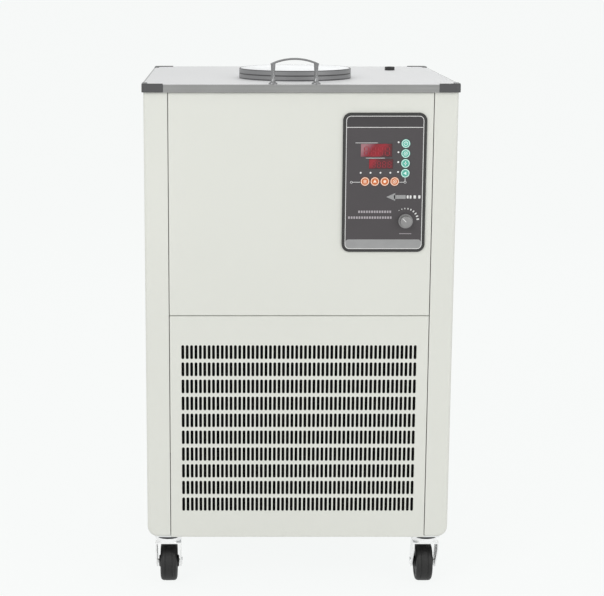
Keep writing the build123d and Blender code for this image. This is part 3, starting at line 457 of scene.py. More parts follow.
def makeWheelRubber():
    # moulded tread with faint streaks round it
    finish, tree, shader, place = newFinish("wheelRubber")
    streaks = addNoise(tree, place, 0.0022, (1, 0.06, 0.06))
    grain = addNoise(tree, place, 0.0009)
    colours = [(0.3, fromScreen(14, 14, 14)), (0.7, fromScreen(28, 27, 27))]
    colourBy(tree, shader, streaks, colours)
    glossBy(tree, shader, grain, 0.5, 0.68)
    addBump(tree, shader, grain, strength=0.25, depth=0.0002)
    return finish


shadeFilterFoam = makeShadeFilterFoam()
lidGreyPaintedShade = makeLidGreyPaintedShade()
displayRedPaintedReflection = makeDisplayRedPaintedReflection()
wheelRubber = makeWheelRubber()
splitSteel = makeSplitSteel()

finishOfNode = {
    "side_cover_right": casingPaint, "side_cover_left": casingPaint,
    "upper_front_panel": casingPaint, "lower_grille_panel": casingPaint, "rear_panel": casingPaint,
    "base_pan": galvanised, "inner_frame": galvanised, "bath_shelf": galvanised,
    "worktop": worktopLaminate, "edge_trims": edgeAluminium, "corner_caps": capPlastic,
    "bath_tank": tankSteel, "bath_collar": lidGreyPaintedShade, "bath_insulation": foamYellow,
    "lid_rim": lidGreyPaintedShade, "lid_disc": lidSteel, "lid_plug": foamYellow, "evaporator_coil": copperTube,
    "stirrer_motor": galvanised, "stirrer_magnet": raceSteel, "pull_handle": castZinc,
    "rod_socket": blackPlastic, "control_bezel": bezelPlastic, "control_fascia": filmDark,
    "display_modules": displayRedPaintedReflection, "indicator_lamps": lampWhite, "control_board": boardGreen,
    "speed_potentiometer": raceSteel, "speed_knob": knobSilver, "dust_filter": shadeFilterFoam,
    "condenser": finAluminium, "fan_shroud": galvanised, "fan_motor": glossBlack,
    "condenser_fan": fanPlastic, "compressor": glossBlack, "compressor_grommets": softRubber,
    "filter_drier": copperTube, "refrigerant_lines": copperTube, "drain_pipe": tankSteel,
    "drain_valve_body": brassBody, "valve_ball": raceSteel, "valve_lever": dippedRed,
    "mains_inlet": blackPlastic, "castor_plates": splitSteel,
}
finishOfGroup = {"orange_key": keyOrange, "green_key": keyGreen, "castor_fork": brightZinc,
                 "castor_wheel": wheelRubber}
for node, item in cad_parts.items():
    finish = finishOfNode.get(node)
    for group, other in finishOfGroup.items():
        if node.startswith(group):
            finish = other
    item.data.materials.clear()
    item.data.materials.append(finish)
print("finishes given to the solids")


# pull handle: two waisted posts and a shallow arch, cast in one

pullHandle = {"spacing": 0.077, "footRadius": 0.0079, "waistRadius": 0.0034, "headRadius": 0.0042,
              "archRise": 0.010, "archReach": 0.0426, "archThickness": 0.0036, "archDepth": 0.009,
              "archRounding": 0.0013, "archShare": 0.985}


def postProfile(shoulder):
    # radius and height: the rounded foot, the flare down to the waist, and the head in the arch
    foot, waist, head = (pullHandle[part + "Radius"] for part in ("foot", "waist", "head"))
    return [(foot - 0.0004, 0), (foot, 0.0004), (foot, 0.0014), (foot * 0.93, 0.0022),
            (foot * 0.72, 0.0034), (foot * 0.55, 0.0052), (foot * 0.44, 0.008),
            (waist, 0.013), (waist, 0.022), (waist * 1.12, 0.029),
            (head, shoulder - 0.0006), (head, shoulder + 0.0012), (head * 0.8, shoulder + 0.0022)]


def makePullHandle():
    foot, top = footOf("pull_handle"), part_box("pull_handle")[1].z
    reach, rise = pullHandle["archReach"], pullHandle["archRise"]
    thick, half = pullHandle["archThickness"], pullHandle["spacing"] / 2
    profile = postProfile(top - rise - thick / 2 - foot.z)
    posts = []
    for side in (-1, 1):
        place = Vector((foot.x + side * half, foot.y, foot.z))
        posts.append(turnAlong(place, (0, 0, 1), profile, 40))
    # the arch's section is spun to one end, and mirrored to the other
    radius = (reach ** 2 + rise ** 2) / (2 * rise)
    selectOnly()
    bpy.ops.mesh.primitive_plane_add(size=1, location=(foot.x, foot.y, top - thick / 2),
                                     rotation=(0, math.pi / 2, 0))
    arch = bpy.context.object
    startEdit()
    bpy.ops.transform.resize(value=(1, pullHandle["archDepth"], thick))
    bpy.ops.mesh.bevel(offset=pullHandle["archRounding"], segments=5, affect="VERTICES")
    selectAll()
    bpy.ops.mesh.delete(type="ONLY_FACE")
    selectAll()
    bpy.ops.mesh.spin(steps=20, angle=math.asin(reach / radius) * pullHandle["archShare"],
                      axis=(0, 1, 0), center=(foot.x, foot.y, top - thick - radius))
    bpy.ops.object.mode_set(mode="OBJECT")
    selectOnly(arch)
    bpy.ops.object.transform_apply(location=False, rotation=True, scale=True)
    mirrored = arch.modifiers.new("otherHalf", "MIRROR")
    mirrored.merge_threshold = 0.0001
    applyAll(arch)
    placeInMesh(arch)
    startEdit()
    bpy.ops.mesh.fill_holes(sides=0)
    closeEdit()
    for post in posts:
        placeInMesh(post)
        combine(arch, post, "UNION")
    settle(arch, "pullHandle", "cabinet", castZinc, "chrome", "pull_handle", smoothAngle=40)


makePullHandle()
print("pull handle made")


# lid: spun disc with a pressed bead, and a dark seal ring under its rim whose dark colour paints
# the shade in the joint

lidCover = {"beadRadius": 0.078, "beadWidth": 0.006, "beadHeight": 0.0007, "edgeRound": 0.0006,
            "startRadius": 0.002, "flatRadius": 0.03}


def makeLidCover():
    low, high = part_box("lid_disc")
    radius, thick = halfWidthOf("lid_disc"), high.z - low.z
    bead, half, lift = lidCover["beadRadius"], lidCover["beadWidth"] / 2, lidCover["beadHeight"]
    edge, start = lidCover["edgeRound"], lidCover["startRadius"]
    # from the middle out over the bead, round the edge and back underneath
    profile = [(start, thick), (lidCover["flatRadius"], thick),
               (bead - half * 1.6, thick), (bead - half, thick + lift * 0.35),
               (bead - half * 0.4, thick + lift), (bead + half * 0.4, thick + lift),
               (bead + half, thick + lift * 0.35), (bead + half * 1.6, thick),
               (radius - edge * 2, thick), (radius - edge * 0.4, thick - edge * 0.4),
               (radius, thick - edge * 1.4), (radius, 0.0), (start, 0.0)]
    disc = turnAlong(footOf("lid_disc"), (0, 0, 1), profile, 128)
    settle(disc, "lidCover", "cabinet", lidSteel, "stainless", "lid_disc", smoothAngle=30)


jointShadeSeal = {"innerInset": 0.0022, "outerInset": 0.00035, "half": 0.0009, "straight": 0.0005,
           "corner": 0.0003}


def makeJointShadeSeal():
    radius = halfWidthOf("lid_rim")
    inner, outer = radius - jointShadeSeal["innerInset"], radius - jointShadeSeal["outerInset"]
    half, straight, corner = jointShadeSeal["half"], jointShadeSeal["straight"], jointShadeSeal["corner"]
    profile = [(inner, -half), (outer - corner, -half), (outer, -straight), (outer, straight),
               (outer - corner, half), (inner, half), (inner, -half)]
    # the ring sits in the joint under the rim, and its dark colour is painted shade
    seal = turnAlong(footOf("lid_rim"), (0, 0, 1), profile, 128, ring=True)
    settle(seal, "jointShadeSeal", "cabinet", jointShadeRubber, "rubber", smoothAngle=30)


makeLidCover()
makeJointShadeSeal()
print("lid made")


# control panel: printed marks on the film

printing = {"depth": 0.00012, "stripDepth": 0.00006, "lineWidth": 0.0011, "frameInset": 0.0005,
            "cornerRadius": 0.0085}
fasciaLow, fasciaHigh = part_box("control_fascia")
filmFace = fasciaLow.y
panelMiddle = (fasciaLow + fasciaHigh) / 2


def addPatch(x, z, wide, tall, face, sides=4, rounding=0.0, border=0.0, turn=0.0, depth=None):
    # a flat mark that faces the front, standing a hair proud of the face that it is printed on
    selectOnly()
    if sides == 4:
        bpy.ops.mesh.primitive_plane_add(size=1)
    else:
        bpy.ops.mesh.primitive_circle_add(vertices=sides, radius=0.5, fill_type="NGON")
    patch = bpy.context.object
    startEdit()
    bpy.ops.transform.resize(value=(wide, tall, 1), center_override=(0, 0, 0))
    if rounding:
        bpy.ops.mesh.bevel(offset=rounding, segments=7, affect="VERTICES")
        selectAll()
    if border:
        bpy.ops.mesh.inset(thickness=border)
        bpy.ops.mesh.delete(type="FACE")
        selectAll()
    depth = depth or printing["depth"]
    pushOut((0, 0, depth))
    closeEdit()
    patch.rotation_euler = (math.pi / 2, -turn, 0)
    patch.location = (x, face, z)
    placeInMesh(patch)
    return patch


def addRing(x, z, radius, width, face, sides=40):
    return addPatch(x, z, radius * 2, radius * 2, face, sides=sides, border=width)


frameMarks = {"dividerHeight": 0.877,
              "rules": ((0.118, 0.8492, 0.040), (0.134, 0.8218, 0.034)), "ruleTall": 0.0008,
              "blocks": ((0.1919, 0.1953), (0.1971, 0.2005), (0.2042, 0.2086), (0.2127, 0.2166)),
              "blockTall": 0.0056, "blockRounding": 0.0006}


def addFrame():
    # the line round the film, and the one across its top
    line, inset = printing["lineWidth"], printing["frameInset"]
    wide, tall = fasciaHigh.x - fasciaLow.x, fasciaHigh.z - fasciaLow.z
    return [addPatch(panelMiddle.x, panelMiddle.z, wide - 2 * inset, tall - 2 * inset, filmFace,
                     rounding=printing["cornerRadius"], border=line),
            addPatch(panelMiddle.x, frameMarks["dividerHeight"], wide - 2 * inset - line, line,
                     filmFace)]


keyLink = {"height": 0.7783, "reach": 0.0245, "wide": 0.0009, "keyRadius": 0.0085,
           "ringRadius": 0.0022, "ringWidth": 0.0007}


def addKeyLink():
    # the line from the orange keys to the lowest green one, with a small ring where it turns
    firstKey, lastKey = middleOf("orange_key_1"), middleOf("orange_key_4")
    lowGreen = middleOf("green_key_1")
    height, wide = keyLink["height"], keyLink["wide"]
    keyRadius, ringRadius = keyLink["keyRadius"], keyLink["ringRadius"]
    startX, endX = firstKey.x - keyLink["reach"], lowGreen.x
    marks = []
    for ringX in (startX, endX):
        marks.append(addRing(ringX, height, ringRadius, keyLink["ringWidth"], filmFace, sides=28))
    for fromX, toX in ((startX + ringRadius, firstKey.x - keyRadius),
                       (lastKey.x + keyRadius, endX - ringRadius)):
        marks.append(addPatch((fromX + toX) / 2, height, toX - fromX, wide, filmFace))
    fromZ, toZ = height + ringRadius, lowGreen.z - keyRadius
    marks.append(addPatch(endX, (fromZ + toZ) / 2, wide, toZ - fromZ, filmFace))
    return marks


def addRulesAndBlocks():
    # short rules over the two displays, and four blocks behind the arrow
    marks = []
    for x, z, wide in frameMarks["rules"]:
        marks.append(addPatch(x, z, wide, frameMarks["ruleTall"], filmFace))
    for fromX, toX in frameMarks["blocks"]:
        marks.append(addPatch((fromX + toX) / 2, flowArrow["height"], toX - fromX,
                              frameMarks["blockTall"], filmFace,
                              rounding=frameMarks["blockRounding"]))
    return marks


speedScale = {"radius": 0.0225, "fromAngle": 122, "toAngle": 8, "steps": 9,
              "long": 0.0016, "longGrowth": 0.0030, "wide": 0.0012, "wideGrowth": 0.0012,
              "rounding": 0.0004}


def addSpeedScale():
    # strokes that grow round the knob
    marks = []
    reach, spread = speedScale["radius"], speedScale["toAngle"] - speedScale["fromAngle"]
    for number in range(speedScale["steps"]):
        share = number / (speedScale["steps"] - 1)
        angle = math.radians(speedScale["fromAngle"] + spread * share)
        marks.append(addPatch(knobCentre.x + reach * math.cos(angle),
                              knobCentre.z + reach * math.sin(angle),
                              speedScale["long"] + speedScale["longGrowth"] * share,
                              speedScale["wide"] + speedScale["wideGrowth"] * share, filmFace,
                              rounding=speedScale["rounding"], turn=angle))
    return marks


def makePanelMarks():
    marks = addFrame() + addKeyLink() + addRulesAndBlocks() + addSpeedScale()
    settle(joinAll(marks), "panelMarks", "cabinet", whiteInk, "lamp_white")


flowArrow = {"height": 0.7516, "tip": 0.155, "tail": 0.190, "headLength": 0.016, "headTall": 0.014,
             "shaftTall": 0.0068, "overlap": 0.001}


def makeArrow():
    tip, tail, height = flowArrow["tip"], flowArrow["tail"], flowArrow["height"]
    length, tall, overlap = flowArrow["headLength"], flowArrow["headTall"], flowArrow["overlap"]
    # a three-sided circle of radius 0.5 is 0.866 wide and 0.75 long, 2/3 of it before its middle
    head = addPatch(tip + length * 2 / 3, height, tall / 0.866, length / 0.75, filmFace, sides=3,
                    turn=math.pi / 2)
    shaft = addPatch((tip + length + tail) / 2 - overlap, height,
                     tail - tip - length + 2 * overlap, flowArrow["shaftTall"], filmFace)
    settle(joinAll([head, shaft]), "flowArrow", "cabinet", silverFilm, "trim_aluminium")


strips = {"footTall": 0.0164, "footRounding": 0.006}


def makeStrips():
    # a darker strip across the top of the film, and a silver one along its foot
    line, inset = printing["lineWidth"], printing["frameInset"]
    wide = fasciaHigh.x - fasciaLow.x - 2 * (inset + line)
    top = fasciaHigh.z - inset - line
    bottom = frameMarks["dividerHeight"] + line / 2
    title = addPatch(panelMiddle.x, (top + bottom) / 2, wide, top - bottom, filmFace,
                     depth=printing["stripDepth"])
    settle(title, "titleStrip", "cabinet", titleFilm, "fascia_film")
    tall = strips["footTall"]
    strip = addPatch(panelMiddle.x, fasciaLow.z + inset + line + tall / 2, wide, tall, filmFace,
                     depth=printing["stripDepth"], rounding=strips["footRounding"])
    settle(strip, "footStrip", "cabinet", silverFilm, "trim_aluminium")


# each row: height, start, end and number of dashes
faintRows = {"rows": ((0.7246, 0.104, 0.165, 13), (0.7140, 0.086, 0.166, 17)),
             "dashShare": 0.66, "dashTall": 0.0042,
             "ruleHeight": 0.6846, "ruleWide": 0.022, "ruleTall": 0.0010}


def makeFaintMarks():
    # two rows of short dashes beside the knob, and the rule under it
    marks = []
    for height, fromX, toX, count in faintRows["rows"]:
        pitch = (toX - fromX) / count
        for number in range(count):
            marks.append(addPatch(fromX + pitch * (number + 0.5), height,
                                  pitch * faintRows["dashShare"], faintRows["dashTall"], filmFace))
    marks.append(addPatch(knobCentre.x, faintRows["ruleHeight"], faintRows["ruleWide"],
                          faintRows["ruleTall"], filmFace))
    settle(joinAll(marks), "faintMarks", "cabinet", greyInk, "lamp_white")


makePanelMarks()
makeArrow()
makeStrips()
makeFaintMarks()
print("panel printed")


# intake grille: the rounding in the corners of every slot

grilleSlot = {"columns": 54, "rows": 10, "margin": 0.020, "pitchZ": 0.0325, "height": 0.0266,
              "openShare": 2 / 3, "fieldHeight": 0.317, "sheet": 0.0015, "steps": 5,
              "weld": 0.00003}


def makeSlotEnds():
    # one corner of one slot, mirrored to its four corners and then repeated over the field
    slot, (low, high) = grilleSlot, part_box("lower_grille_panel")
    pitchX = (high.x - low.x - 2 * slot["margin"]) / slot["columns"]
    radius = pitchX * slot["openShare"] / 2
    selectOnly()
    bpy.ops.mesh.primitive_circle_add(vertices=4 * slot["steps"], radius=radius)
    ends = bpy.context.object
    startEdit()
    bpy.ops.mesh.bisect(plane_co=(-hair, 0, 0), plane_no=(1, 0, 0), clear_inner=True)
    selectAll()
    bpy.ops.mesh.bisect(plane_co=(0, -hair, 0), plane_no=(0, 1, 0), clear_inner=True)
    selectAll()
    bpy.ops.mesh.extrude_region_move()
    bpy.ops.transform.resize(value=(0, 0, 0), center_override=(radius, radius, 0))
    selectAll()
    bpy.ops.mesh.remove_doubles(threshold=slot["weld"])
    pushOut((0, 0, slot["sheet"]))
    selectAll()
    bpy.ops.transform.translate(value=(0, slot["height"] / 2 - radius, 0))
    closeEdit()
    mirrored = ends.modifiers.new("otherCorners", "MIRROR")
    mirrored.use_axis = (True, True, False)
    mirrored.use_mirror_merge = False
    for name, offset in (("columns", (pitchX, 0, 0)), ("rows", (0, slot["pitchZ"], 0))):
        repeat = ends.modifiers.new(name, "ARRAY")
        repeat.count = slot[name]
        repeat.use_relative_offset = False
        repeat.use_constant_offset = True
        repeat.constant_offset_displace = offset
    applyAll(ends)
    ends.rotation_euler = (math.pi / 2, 0, 0)
    ends.location = (-(slot["columns"] - 1) / 2 * pitchX, low.y + slot["sheet"],
                     slot["fieldHeight"] - (slot["rows"] - 1) / 2 * slot["pitchZ"])
    settle(ends, "slotEnds", "cabinet", casingPaint, "panel_paint", smoothAngle=30)


makeSlotEnds()
print("slots rounded")


# displays: unlit numerals that lie on the tinted windows

numerals = {"upper": {"count": 4, "tall": 0.015, "pitch": 0.0125, "x": 0.1368, "z": 0.8345},
            "lower": {"count": 4, "tall": 0.011, "pitch": 0.0095, "x": 0.1455, "z": 0.810}}
# shares of a numeral's height: its width, and the width and length of its bars
numeralShape = {"wide": 0.5, "bar": 0.11, "barLong": 0.39, "depth": 0.00005}
numeralRed = grainedFinish("numeralRed", (150, 24, 40), variation=0.9, patch=0.004, grain=0.0005,
                           relief=0.05, roughness=(0.3, 0.4))


def makeNumerals(name, values):
    face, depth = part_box("display_modules")[0].y, numeralShape["depth"]
    z, tall, segments = values["z"], values["tall"], []
    wide, bar, long = (tall * numeralShape[share] for share in ("wide", "bar", "barLong"))
    for number in range(values["count"]):
        x = values["x"] + (number - (values["count"] - 1) / 2) * values["pitch"]
        for lift in (-1, 0, 1):
            segments.append(addPatch(x, z + lift * tall / 2, long, bar, face, sides=6, depth=depth))
        for side in (-1, 1):
            for lift in (-0.25, 0.25):
                segments.append(addPatch(x + side * wide / 2, z + lift * tall, bar, long, face,
                                         depth=depth))
    settle(joinAll(segments), name, "cabinet", numeralRed, "display_red")


makeNumerals("upperNumerals", numerals["upper"])
makeNumerals("lowerNumerals", numerals["lower"])
print("numerals made")


# keys: a pale ring and a plain sign on each, moving with it

keySigns = {"ringRadius": 0.0074, "ringWidth": 0.0012, "signSize": 0.0064,
            "orange": ("bars", "up", "dot", "slash"), "green": ("left", "cross", "slash", "power")}


def makeKeySign(node, kind, finish, slot):
    # the signs are drawn in shares of one size
    middle, face = middleOf(node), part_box(node)[0].y
    x, z, size = middle.x, middle.z, keySigns["signSize"]
    marks = [addRing(x, z, keySigns["ringRadius"], keySigns["ringWidth"], face)]
    if kind in ("up", "left"):
        turn = {"up": 0.0, "left": math.pi / 2}[kind]
        marks.append(addPatch(x, z, size * 1.15, size * 1.15, face, sides=3, turn=turn))
    elif kind == "bars":
        for lift in (-1, 0, 1):
            marks.append(addPatch(x, z + lift * size * 0.36, size * 0.9, size * 0.16, face))
    elif kind == "slash":
        marks.append(addPatch(x, z, size * 1.5, size * 0.2, face, turn=math.radians(45)))
        marks.append(addRing(x, z, size * 0.55, size * 0.16, face, sides=28))
    elif kind == "dot":
        marks.append(addPatch(x, z, size * 0.8, size * 0.8, face, sides=24))
    elif kind == "power":
        marks.append(addRing(x, z, size * 0.62, size * 0.17, face, sides=28))
        marks.append(addPatch(x, z + size * 0.35, size * 0.2, size * 0.75, face))
    elif kind == "cross":
        marks.append(addPatch(x, z, size * 0.24, size * 1.1, face))
        marks.append(addPatch(x, z, size * 0.8, size * 0.24, face))
    settle(joinAll(marks), node.replace("_key_", "Sign"), node, finish, slot)


signOrange = grainedFinish("signOrange", (255, 232, 212), variation=0.95, patch=0.004, grain=0.0005,
                           relief=0.05, roughness=(0.4, 0.5))
signGreen = grainedFinish("signGreen", (222, 250, 242), variation=0.95, patch=0.004, grain=0.0005,
                          relief=0.05, roughness=(0.4, 0.5))
for number, kind in enumerate(keySigns["orange"], 1):
    makeKeySign(f"orange_key_{number}", kind, signOrange, "key_orange")
for number, kind in enumerate(keySigns["green"], 1):
    makeKeySign(f"green_key_{number}", kind, signGreen, "key_green")
print("key signs made")


# speed knob: a thin turned cap and a white pointer, turning with it

# the cap as shares of the knob's radius and heights over its face
speedKnob = {"capProfile": ((0.62, -0.0002), (0.62, 0.0), (0.59, 0.00012), (0.2, 0.00014)),
             "pointerLong": 0.0085, "pointerWide": 0.0012, "pointerShare": 0.22,
             "pointerLift": 0.0001, "pointerTurn": 45}


def makeKnobFittings():
    face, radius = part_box("speed_knob")[0].y, halfWidthOf("speed_knob")
    profile = [(radius * share, height) for share, height in speedKnob["capProfile"]]
    cap = turnAlong(Vector((knobCentre.x, face, knobCentre.z)), (0, -1, 0), profile, 48)
    settle(cap, "knobCap", "speed_knob", knobSilver, "knob_silver")
    aside = radius * speedKnob["pointerShare"]
    pointer = addPatch(knobCentre.x - aside, knobCentre.z + aside, speedKnob["pointerWide"],
                       speedKnob["pointerLong"], face - speedKnob["pointerLift"],
                       turn=math.radians(speedKnob["pointerTurn"]))
    settle(pointer, "knobPointer", "speed_knob", whiteInk, "lamp_white")


makeKnobFittings()
print("knob finished")


# castor wheels: dished sides, rim lips and a grooved tread

castorWheel = {"bore": 0.00405, "hubHalf": 0.019, "hubRadius": 0.011, "treadHalf": 0.0150,
               "radius": 0.0375}


def makeWheel(corner):
    # one side's steps of radius and distance, then the same ones back on the other side
    node = "castor_wheel_" + corner
    bore, hub, hubRadius = castorWheel["bore"], castorWheel["hubHalf"], castorWheel["hubRadius"]
    tread, radius = castorWheel["treadHalf"], castorWheel["radius"]
    hubSteps = [(bore, hub - 0.0006), (bore + 0.0006, hub), (hubRadius - 0.0008, hub),
                (hubRadius, hub - 0.0008), (hubRadius + 0.0012, hub - 0.0036)]
    rimSteps = [(radius - 0.0125, tread - 0.0012), (radius - 0.0105, tread + 0.0004),
                (radius - 0.0062, tread + 0.0008), (radius - 0.0048, tread + 0.0002)]
    shoulderSteps = [(radius - 0.0034, tread - 0.0001), (radius - 0.0016, tread - 0.0016),
                     (radius - 0.0006, tread - 0.0034), (radius - 0.0002, tread - 0.0056)]
    grooveSteps = [(radius, tread - 0.0076), (radius - 0.0005, tread - 0.0080),
                   (radius - 0.0005, tread - 0.0088), (radius, tread - 0.0092), (radius, 0.0022)]
    side = hubSteps + rimSteps + shoulderSteps + grooveSteps
    profile = side + [(reach, -distance) for reach, distance in reversed(side)] + [side[0]]
    wheel = turnAlong(middleOf(node), (1, 0, 0), profile, 72, ring=True)
    settle(wheel, "wheel_" + corner + "_tyre", "wheel_" + corner, wheelRubber, "wheel_black", node,
           smoothAngle=32)


for corner in ("front_left", "front_right", "rear_left", "rear_right"):
    makeWheel(corner)
print("wheels made")


# fastenings: cross-head screws at the rear, hexagon bolts under the castor plates

screw = {"radius": 0.0036, "rise": 0.0018, "edge": 0.0005, "shoulder": 0.0012,
         "crossLong": 0.0040, "crossWide": 0.0009, "crossDeep": 0.0018}


def makeScrew():
    # one screw at the origin, its head towards +Y
    radius, rise, deep = screw["radius"], screw["rise"], screw["crossDeep"]
    profile = [(radius, 0), (radius, screw["edge"]), (radius * 0.9, screw["shoulder"]),
               (radius * 0.6, rise * 0.92), (radius * 0.25, rise)]
    head = turnAlong(Vector((0, 0, 0)), (0, 1, 0), profile, 20)
    placeInMesh(head)
    for wide, tall in ((screw["crossLong"], screw["crossWide"]),
                       (screw["crossWide"], screw["crossLong"])):
        selectOnly()
        bpy.ops.mesh.primitive_cube_add(size=1, location=(0, rise, 0))
        cutter = bpy.context.object
        startEdit()
        bpy.ops.transform.resize(value=(wide, deep, tall), center_override=(0, rise, 0))
        bpy.ops.object.mode_set(mode="OBJECT")
        combine(head, cutter, "DIFFERENCE")
    return head


rearScrews = {"perSide": 6, "edge": 0.009, "end": 0.025, "spread": 0.55, "byInlet": 0.006}


def makeRearScrews():
    # down both sides of the rear panel, along its top and foot, and over and under the inlet
    low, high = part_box("rear_panel")
    face, edge, end = high.y, rearScrews["edge"], rearScrews["end"]
    places = []
    for x in (low.x + edge, high.x - edge):
        for number in range(rearScrews["perSide"]):
            share = number / (rearScrews["perSide"] - 1)
            places.append((x, face, low.z + end + share * (high.z - low.z - 2 * end)))
    for z in (low.z + edge, high.z - edge):
        for share in (-0.5, 0.0, 0.5):
            places.append((share * (high.x - low.x) * rearScrews["spread"], face, z))
    inletLow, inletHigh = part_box("mains_inlet")
    for z in (inletLow.z - rearScrews["byInlet"], inletHigh.z + rearScrews["byInlet"]):
        places.append(((inletLow.x + inletHigh.x) / 2, face, z))
    settle(copyTo(makeScrew(), places), "rearScrews", "cabinet", brightZinc, "zinc")


castorBolt = {"radius": 0.0042, "tall": 0.0028, "edge": 0.0004, "offset": 0.0205,
              "plateWide": 0.050, "plateThick": 0.003}


def makeCastorBolts():
    # hexagon heads under the four corners of each castor's plate
    low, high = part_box("castor_plates")
    half, offset, tall = castorBolt["plateWide"] / 2, castorBolt["offset"], castorBolt["tall"]
    selectOnly()
    bpy.ops.mesh.primitive_cylinder_add(vertices=6, radius=castorBolt["radius"], depth=tall,
                                        location=(0, 0, -tall / 2))
    bolt = bpy.context.object
    startEdit()
    bpy.ops.mesh.bevel(offset=castorBolt["edge"], segments=2, affect="EDGES")
    closeEdit()
    underside = high.z - castorBolt["plateThick"]
    places = []
    for x in (low.x + half, high.x - half):
        for y in (low.y + half, high.y - half):
            for sideX in (-1, 1):
                for sideY in (-1, 1):
                    places.append((x + sideX * offset, y + sideY * offset, underside))
    settle(copyTo(bolt, places), "castorBolts", "cabinet", brightZinc, "zinc")


makeRearScrews()
makeCastorBolts()
print("fastenings made")


# corner caps: the low lip that each folds over the board's corner

capLip = {"width": 0.0085, "length": 0.0375, "inset": 0.0005, "lift": 0.0014, "round": 0.0074}


def selectCorners(piece, wanted):
    bpy.ops.object.mode_set(mode="EDIT")
    bpy.ops.mesh.select_mode(type="VERT")
    bpy.ops.mesh.select_all(action="DESELECT")
    bpy.ops.object.mode_set(mode="OBJECT")
    for corner in piece.data.vertices:
        corner.select = wanted(corner.co)
    bpy.ops.object.mode_set(mode="EDIT")


def makeCapLips():
    low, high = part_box("corner_caps")
    middle, wide = (low + high) / 2, capLip["width"]
    reach, edge = capLip["length"] - wide, wide / 2 - hair
    selectOnly()
    bpy.ops.mesh.primitive_plane_add(size=wide)
    lip = bpy.context.object
    selectCorners(lip, lambda co: co.x < -edge)
    pushOut((-reach, 0, 0))
    selectCorners(lip, lambda co: co.y < -edge and co.x > -wide)
    pushOut((0, -reach, 0))
    selectCorners(lip, lambda co: co.x > edge and co.y > edge)
    bpy.ops.mesh.bevel(offset=capLip["round"], segments=6, affect="VERTICES")
    selectAll()
    pushOut((0, 0, capLip["lift"]))
    closeEdit()
    inset = wide / 2 + capLip["inset"]
    outX, outY = (high.x - low.x) / 2 - inset, (high.y - low.y) / 2 - inset
    signs = [(sideX, sideY) for sideX in (-1, 1) for sideY in (-1, 1)]
    places = [(middle.x + sideX * outX, middle.y + sideY * outY, high.z) for sideX, sideY in signs]
    joined = copyTo(lip, places, signs)
    startEdit()
    closeEdit()
    settle(joined, "capLips", "cabinet", capPlastic, "grey_plastic", smoothAngle=40)


makeCapLips()
print("cap lips made")


# floor, light and camera

studio = {"background": fromScreen(250, 252, 251), "paper": (0.9, 0.9, 0.9), "floorRadius": 90,
          "floorGlow": 0.93, "air": (0.98, 0.99, 1.0), "ambient": 0.62}


def makeFloor():
    selectOnly()
    bpy.ops.mesh.primitive_circle_add(vertices=96, radius=studio["floorRadius"], fill_type="NGON")
    floor = bpy.context.object
    floor.name = "studioFloor"
    # plain paper that takes the shadow, and shows pale where the camera or a reflection sees it
    finish = bpy.data.materials.new("studioPaper")
    finish.use_nodes = True
    tree = finish.node_tree
    tree.nodes.clear()
    output = tree.nodes.new("ShaderNodeOutputMaterial")
    paper = tree.nodes.new("ShaderNodeBsdfDiffuse")
    paper.inputs["Color"].default_value = (*studio["paper"], 1)
    glow = tree.nodes.new("ShaderNodeEmission")
    glow.inputs["Color"].default_value = (*studio["background"], 1)
    rays = tree.nodes.new("ShaderNodeLightPath").outputs
    seen = addMath(tree, "MAXIMUM", rays["Is Camera Ray"], rays["Is Glossy Ray"])
    mixed = tree.nodes.new("ShaderNodeMixShader")
    tree.links.new(addMath(tree, "MULTIPLY", seen, studio["floorGlow"]), mixed.inputs["Fac"])
    tree.links.new(paper.outputs["BSDF"], mixed.inputs[1])
    tree.links.new(glow.outputs["Emission"], mixed.inputs[2])
    tree.links.new(mixed.outputs["Shader"], output.inputs["Surface"])
    floor.data.materials.append(finish)


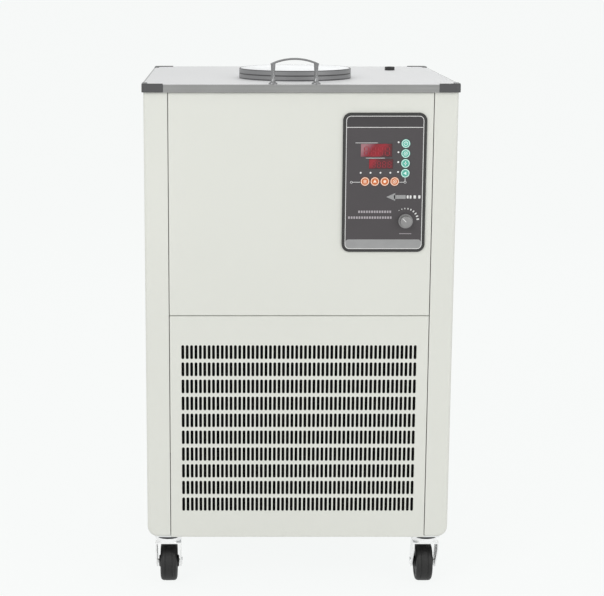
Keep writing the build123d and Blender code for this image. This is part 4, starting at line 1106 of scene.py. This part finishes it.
def makeWorld():
    # even light from all round, and the pale background behind everything
    world = bpy.data.worlds.new("studioWorld")
    world.use_nodes = True
    bpy.context.scene.world = world
    tree = world.node_tree
    tree.nodes.clear()
    output = tree.nodes.new("ShaderNodeOutputWorld")
    ambient = tree.nodes.new("ShaderNodeBackground")
    ambient.inputs["Color"].default_value = (*studio["air"], 1)
    ambient.inputs["Strength"].default_value = studio["ambient"]
    pale = tree.nodes.new("ShaderNodeBackground")
    pale.inputs["Color"].default_value = (*studio["background"], 1)
    rays = tree.nodes.new("ShaderNodeLightPath").outputs
    seen = addMath(tree, "MAXIMUM", rays["Is Camera Ray"], rays["Is Glossy Ray"])
    seen = addMath(tree, "MAXIMUM", seen, rays["Is Transmission Ray"])
    mixed = tree.nodes.new("ShaderNodeMixShader")
    tree.links.new(seen, mixed.inputs["Fac"])
    tree.links.new(ambient.outputs["Background"], mixed.inputs[1])
    tree.links.new(pale.outputs["Background"], mixed.inputs[2])
    tree.links.new(mixed.outputs["Shader"], output.inputs["Surface"])


lamps = {
    "keyLamp": {"place": (-2.2, -3.4, 2.7), "size": 2.2, "power": 57},
    "fillLamp": {"place": (2.6, -2.6, 1.6), "size": 2.0, "power": 26},
    "topLamp": {"place": (0.2, 0.2, 3.2), "size": 2.4, "power": 6},
    "backLamp": {"place": (0.8, 3.2, 2.2), "size": 2.0, "power": 7},
}
lampAim = Vector((0, 0, 0.55))


def makeLamps():
    for name, values in lamps.items():
        selectOnly()
        bpy.ops.object.light_add(type="AREA", location=values["place"])
        lamp = bpy.context.object
        lamp.name = name
        lamp.data.size = values["size"]
        lamp.data.energy = values["power"]
        towards = lampAim - Vector(values["place"])
        lamp.rotation_euler = towards.to_track_quat("-Z", "Y").to_euler()


camera = {"place": (-0.125, -3.2309, 1.153), "pitch": -11.31, "sensor": 36, "lens": 97.75,
          "shiftRight": 0.1175, "farClip": 200}


def makeCamera():
    selectOnly()
    bpy.ops.object.camera_add(location=camera["place"],
                              rotation=(math.radians(90 + camera["pitch"]), 0, 0))
    view = bpy.context.object
    view.name = "photoCamera"
    view.data.sensor_width = camera["sensor"]
    view.data.lens = camera["lens"]
    view.data.shift_x = camera["shiftRight"]
    view.data.clip_end = camera["farClip"]
    bpy.context.scene.camera = view


makeFloor()
makeWorld()
makeLamps()
makeCamera()
bpy.context.scene.view_settings.view_transform = "Standard"
print("studio set")
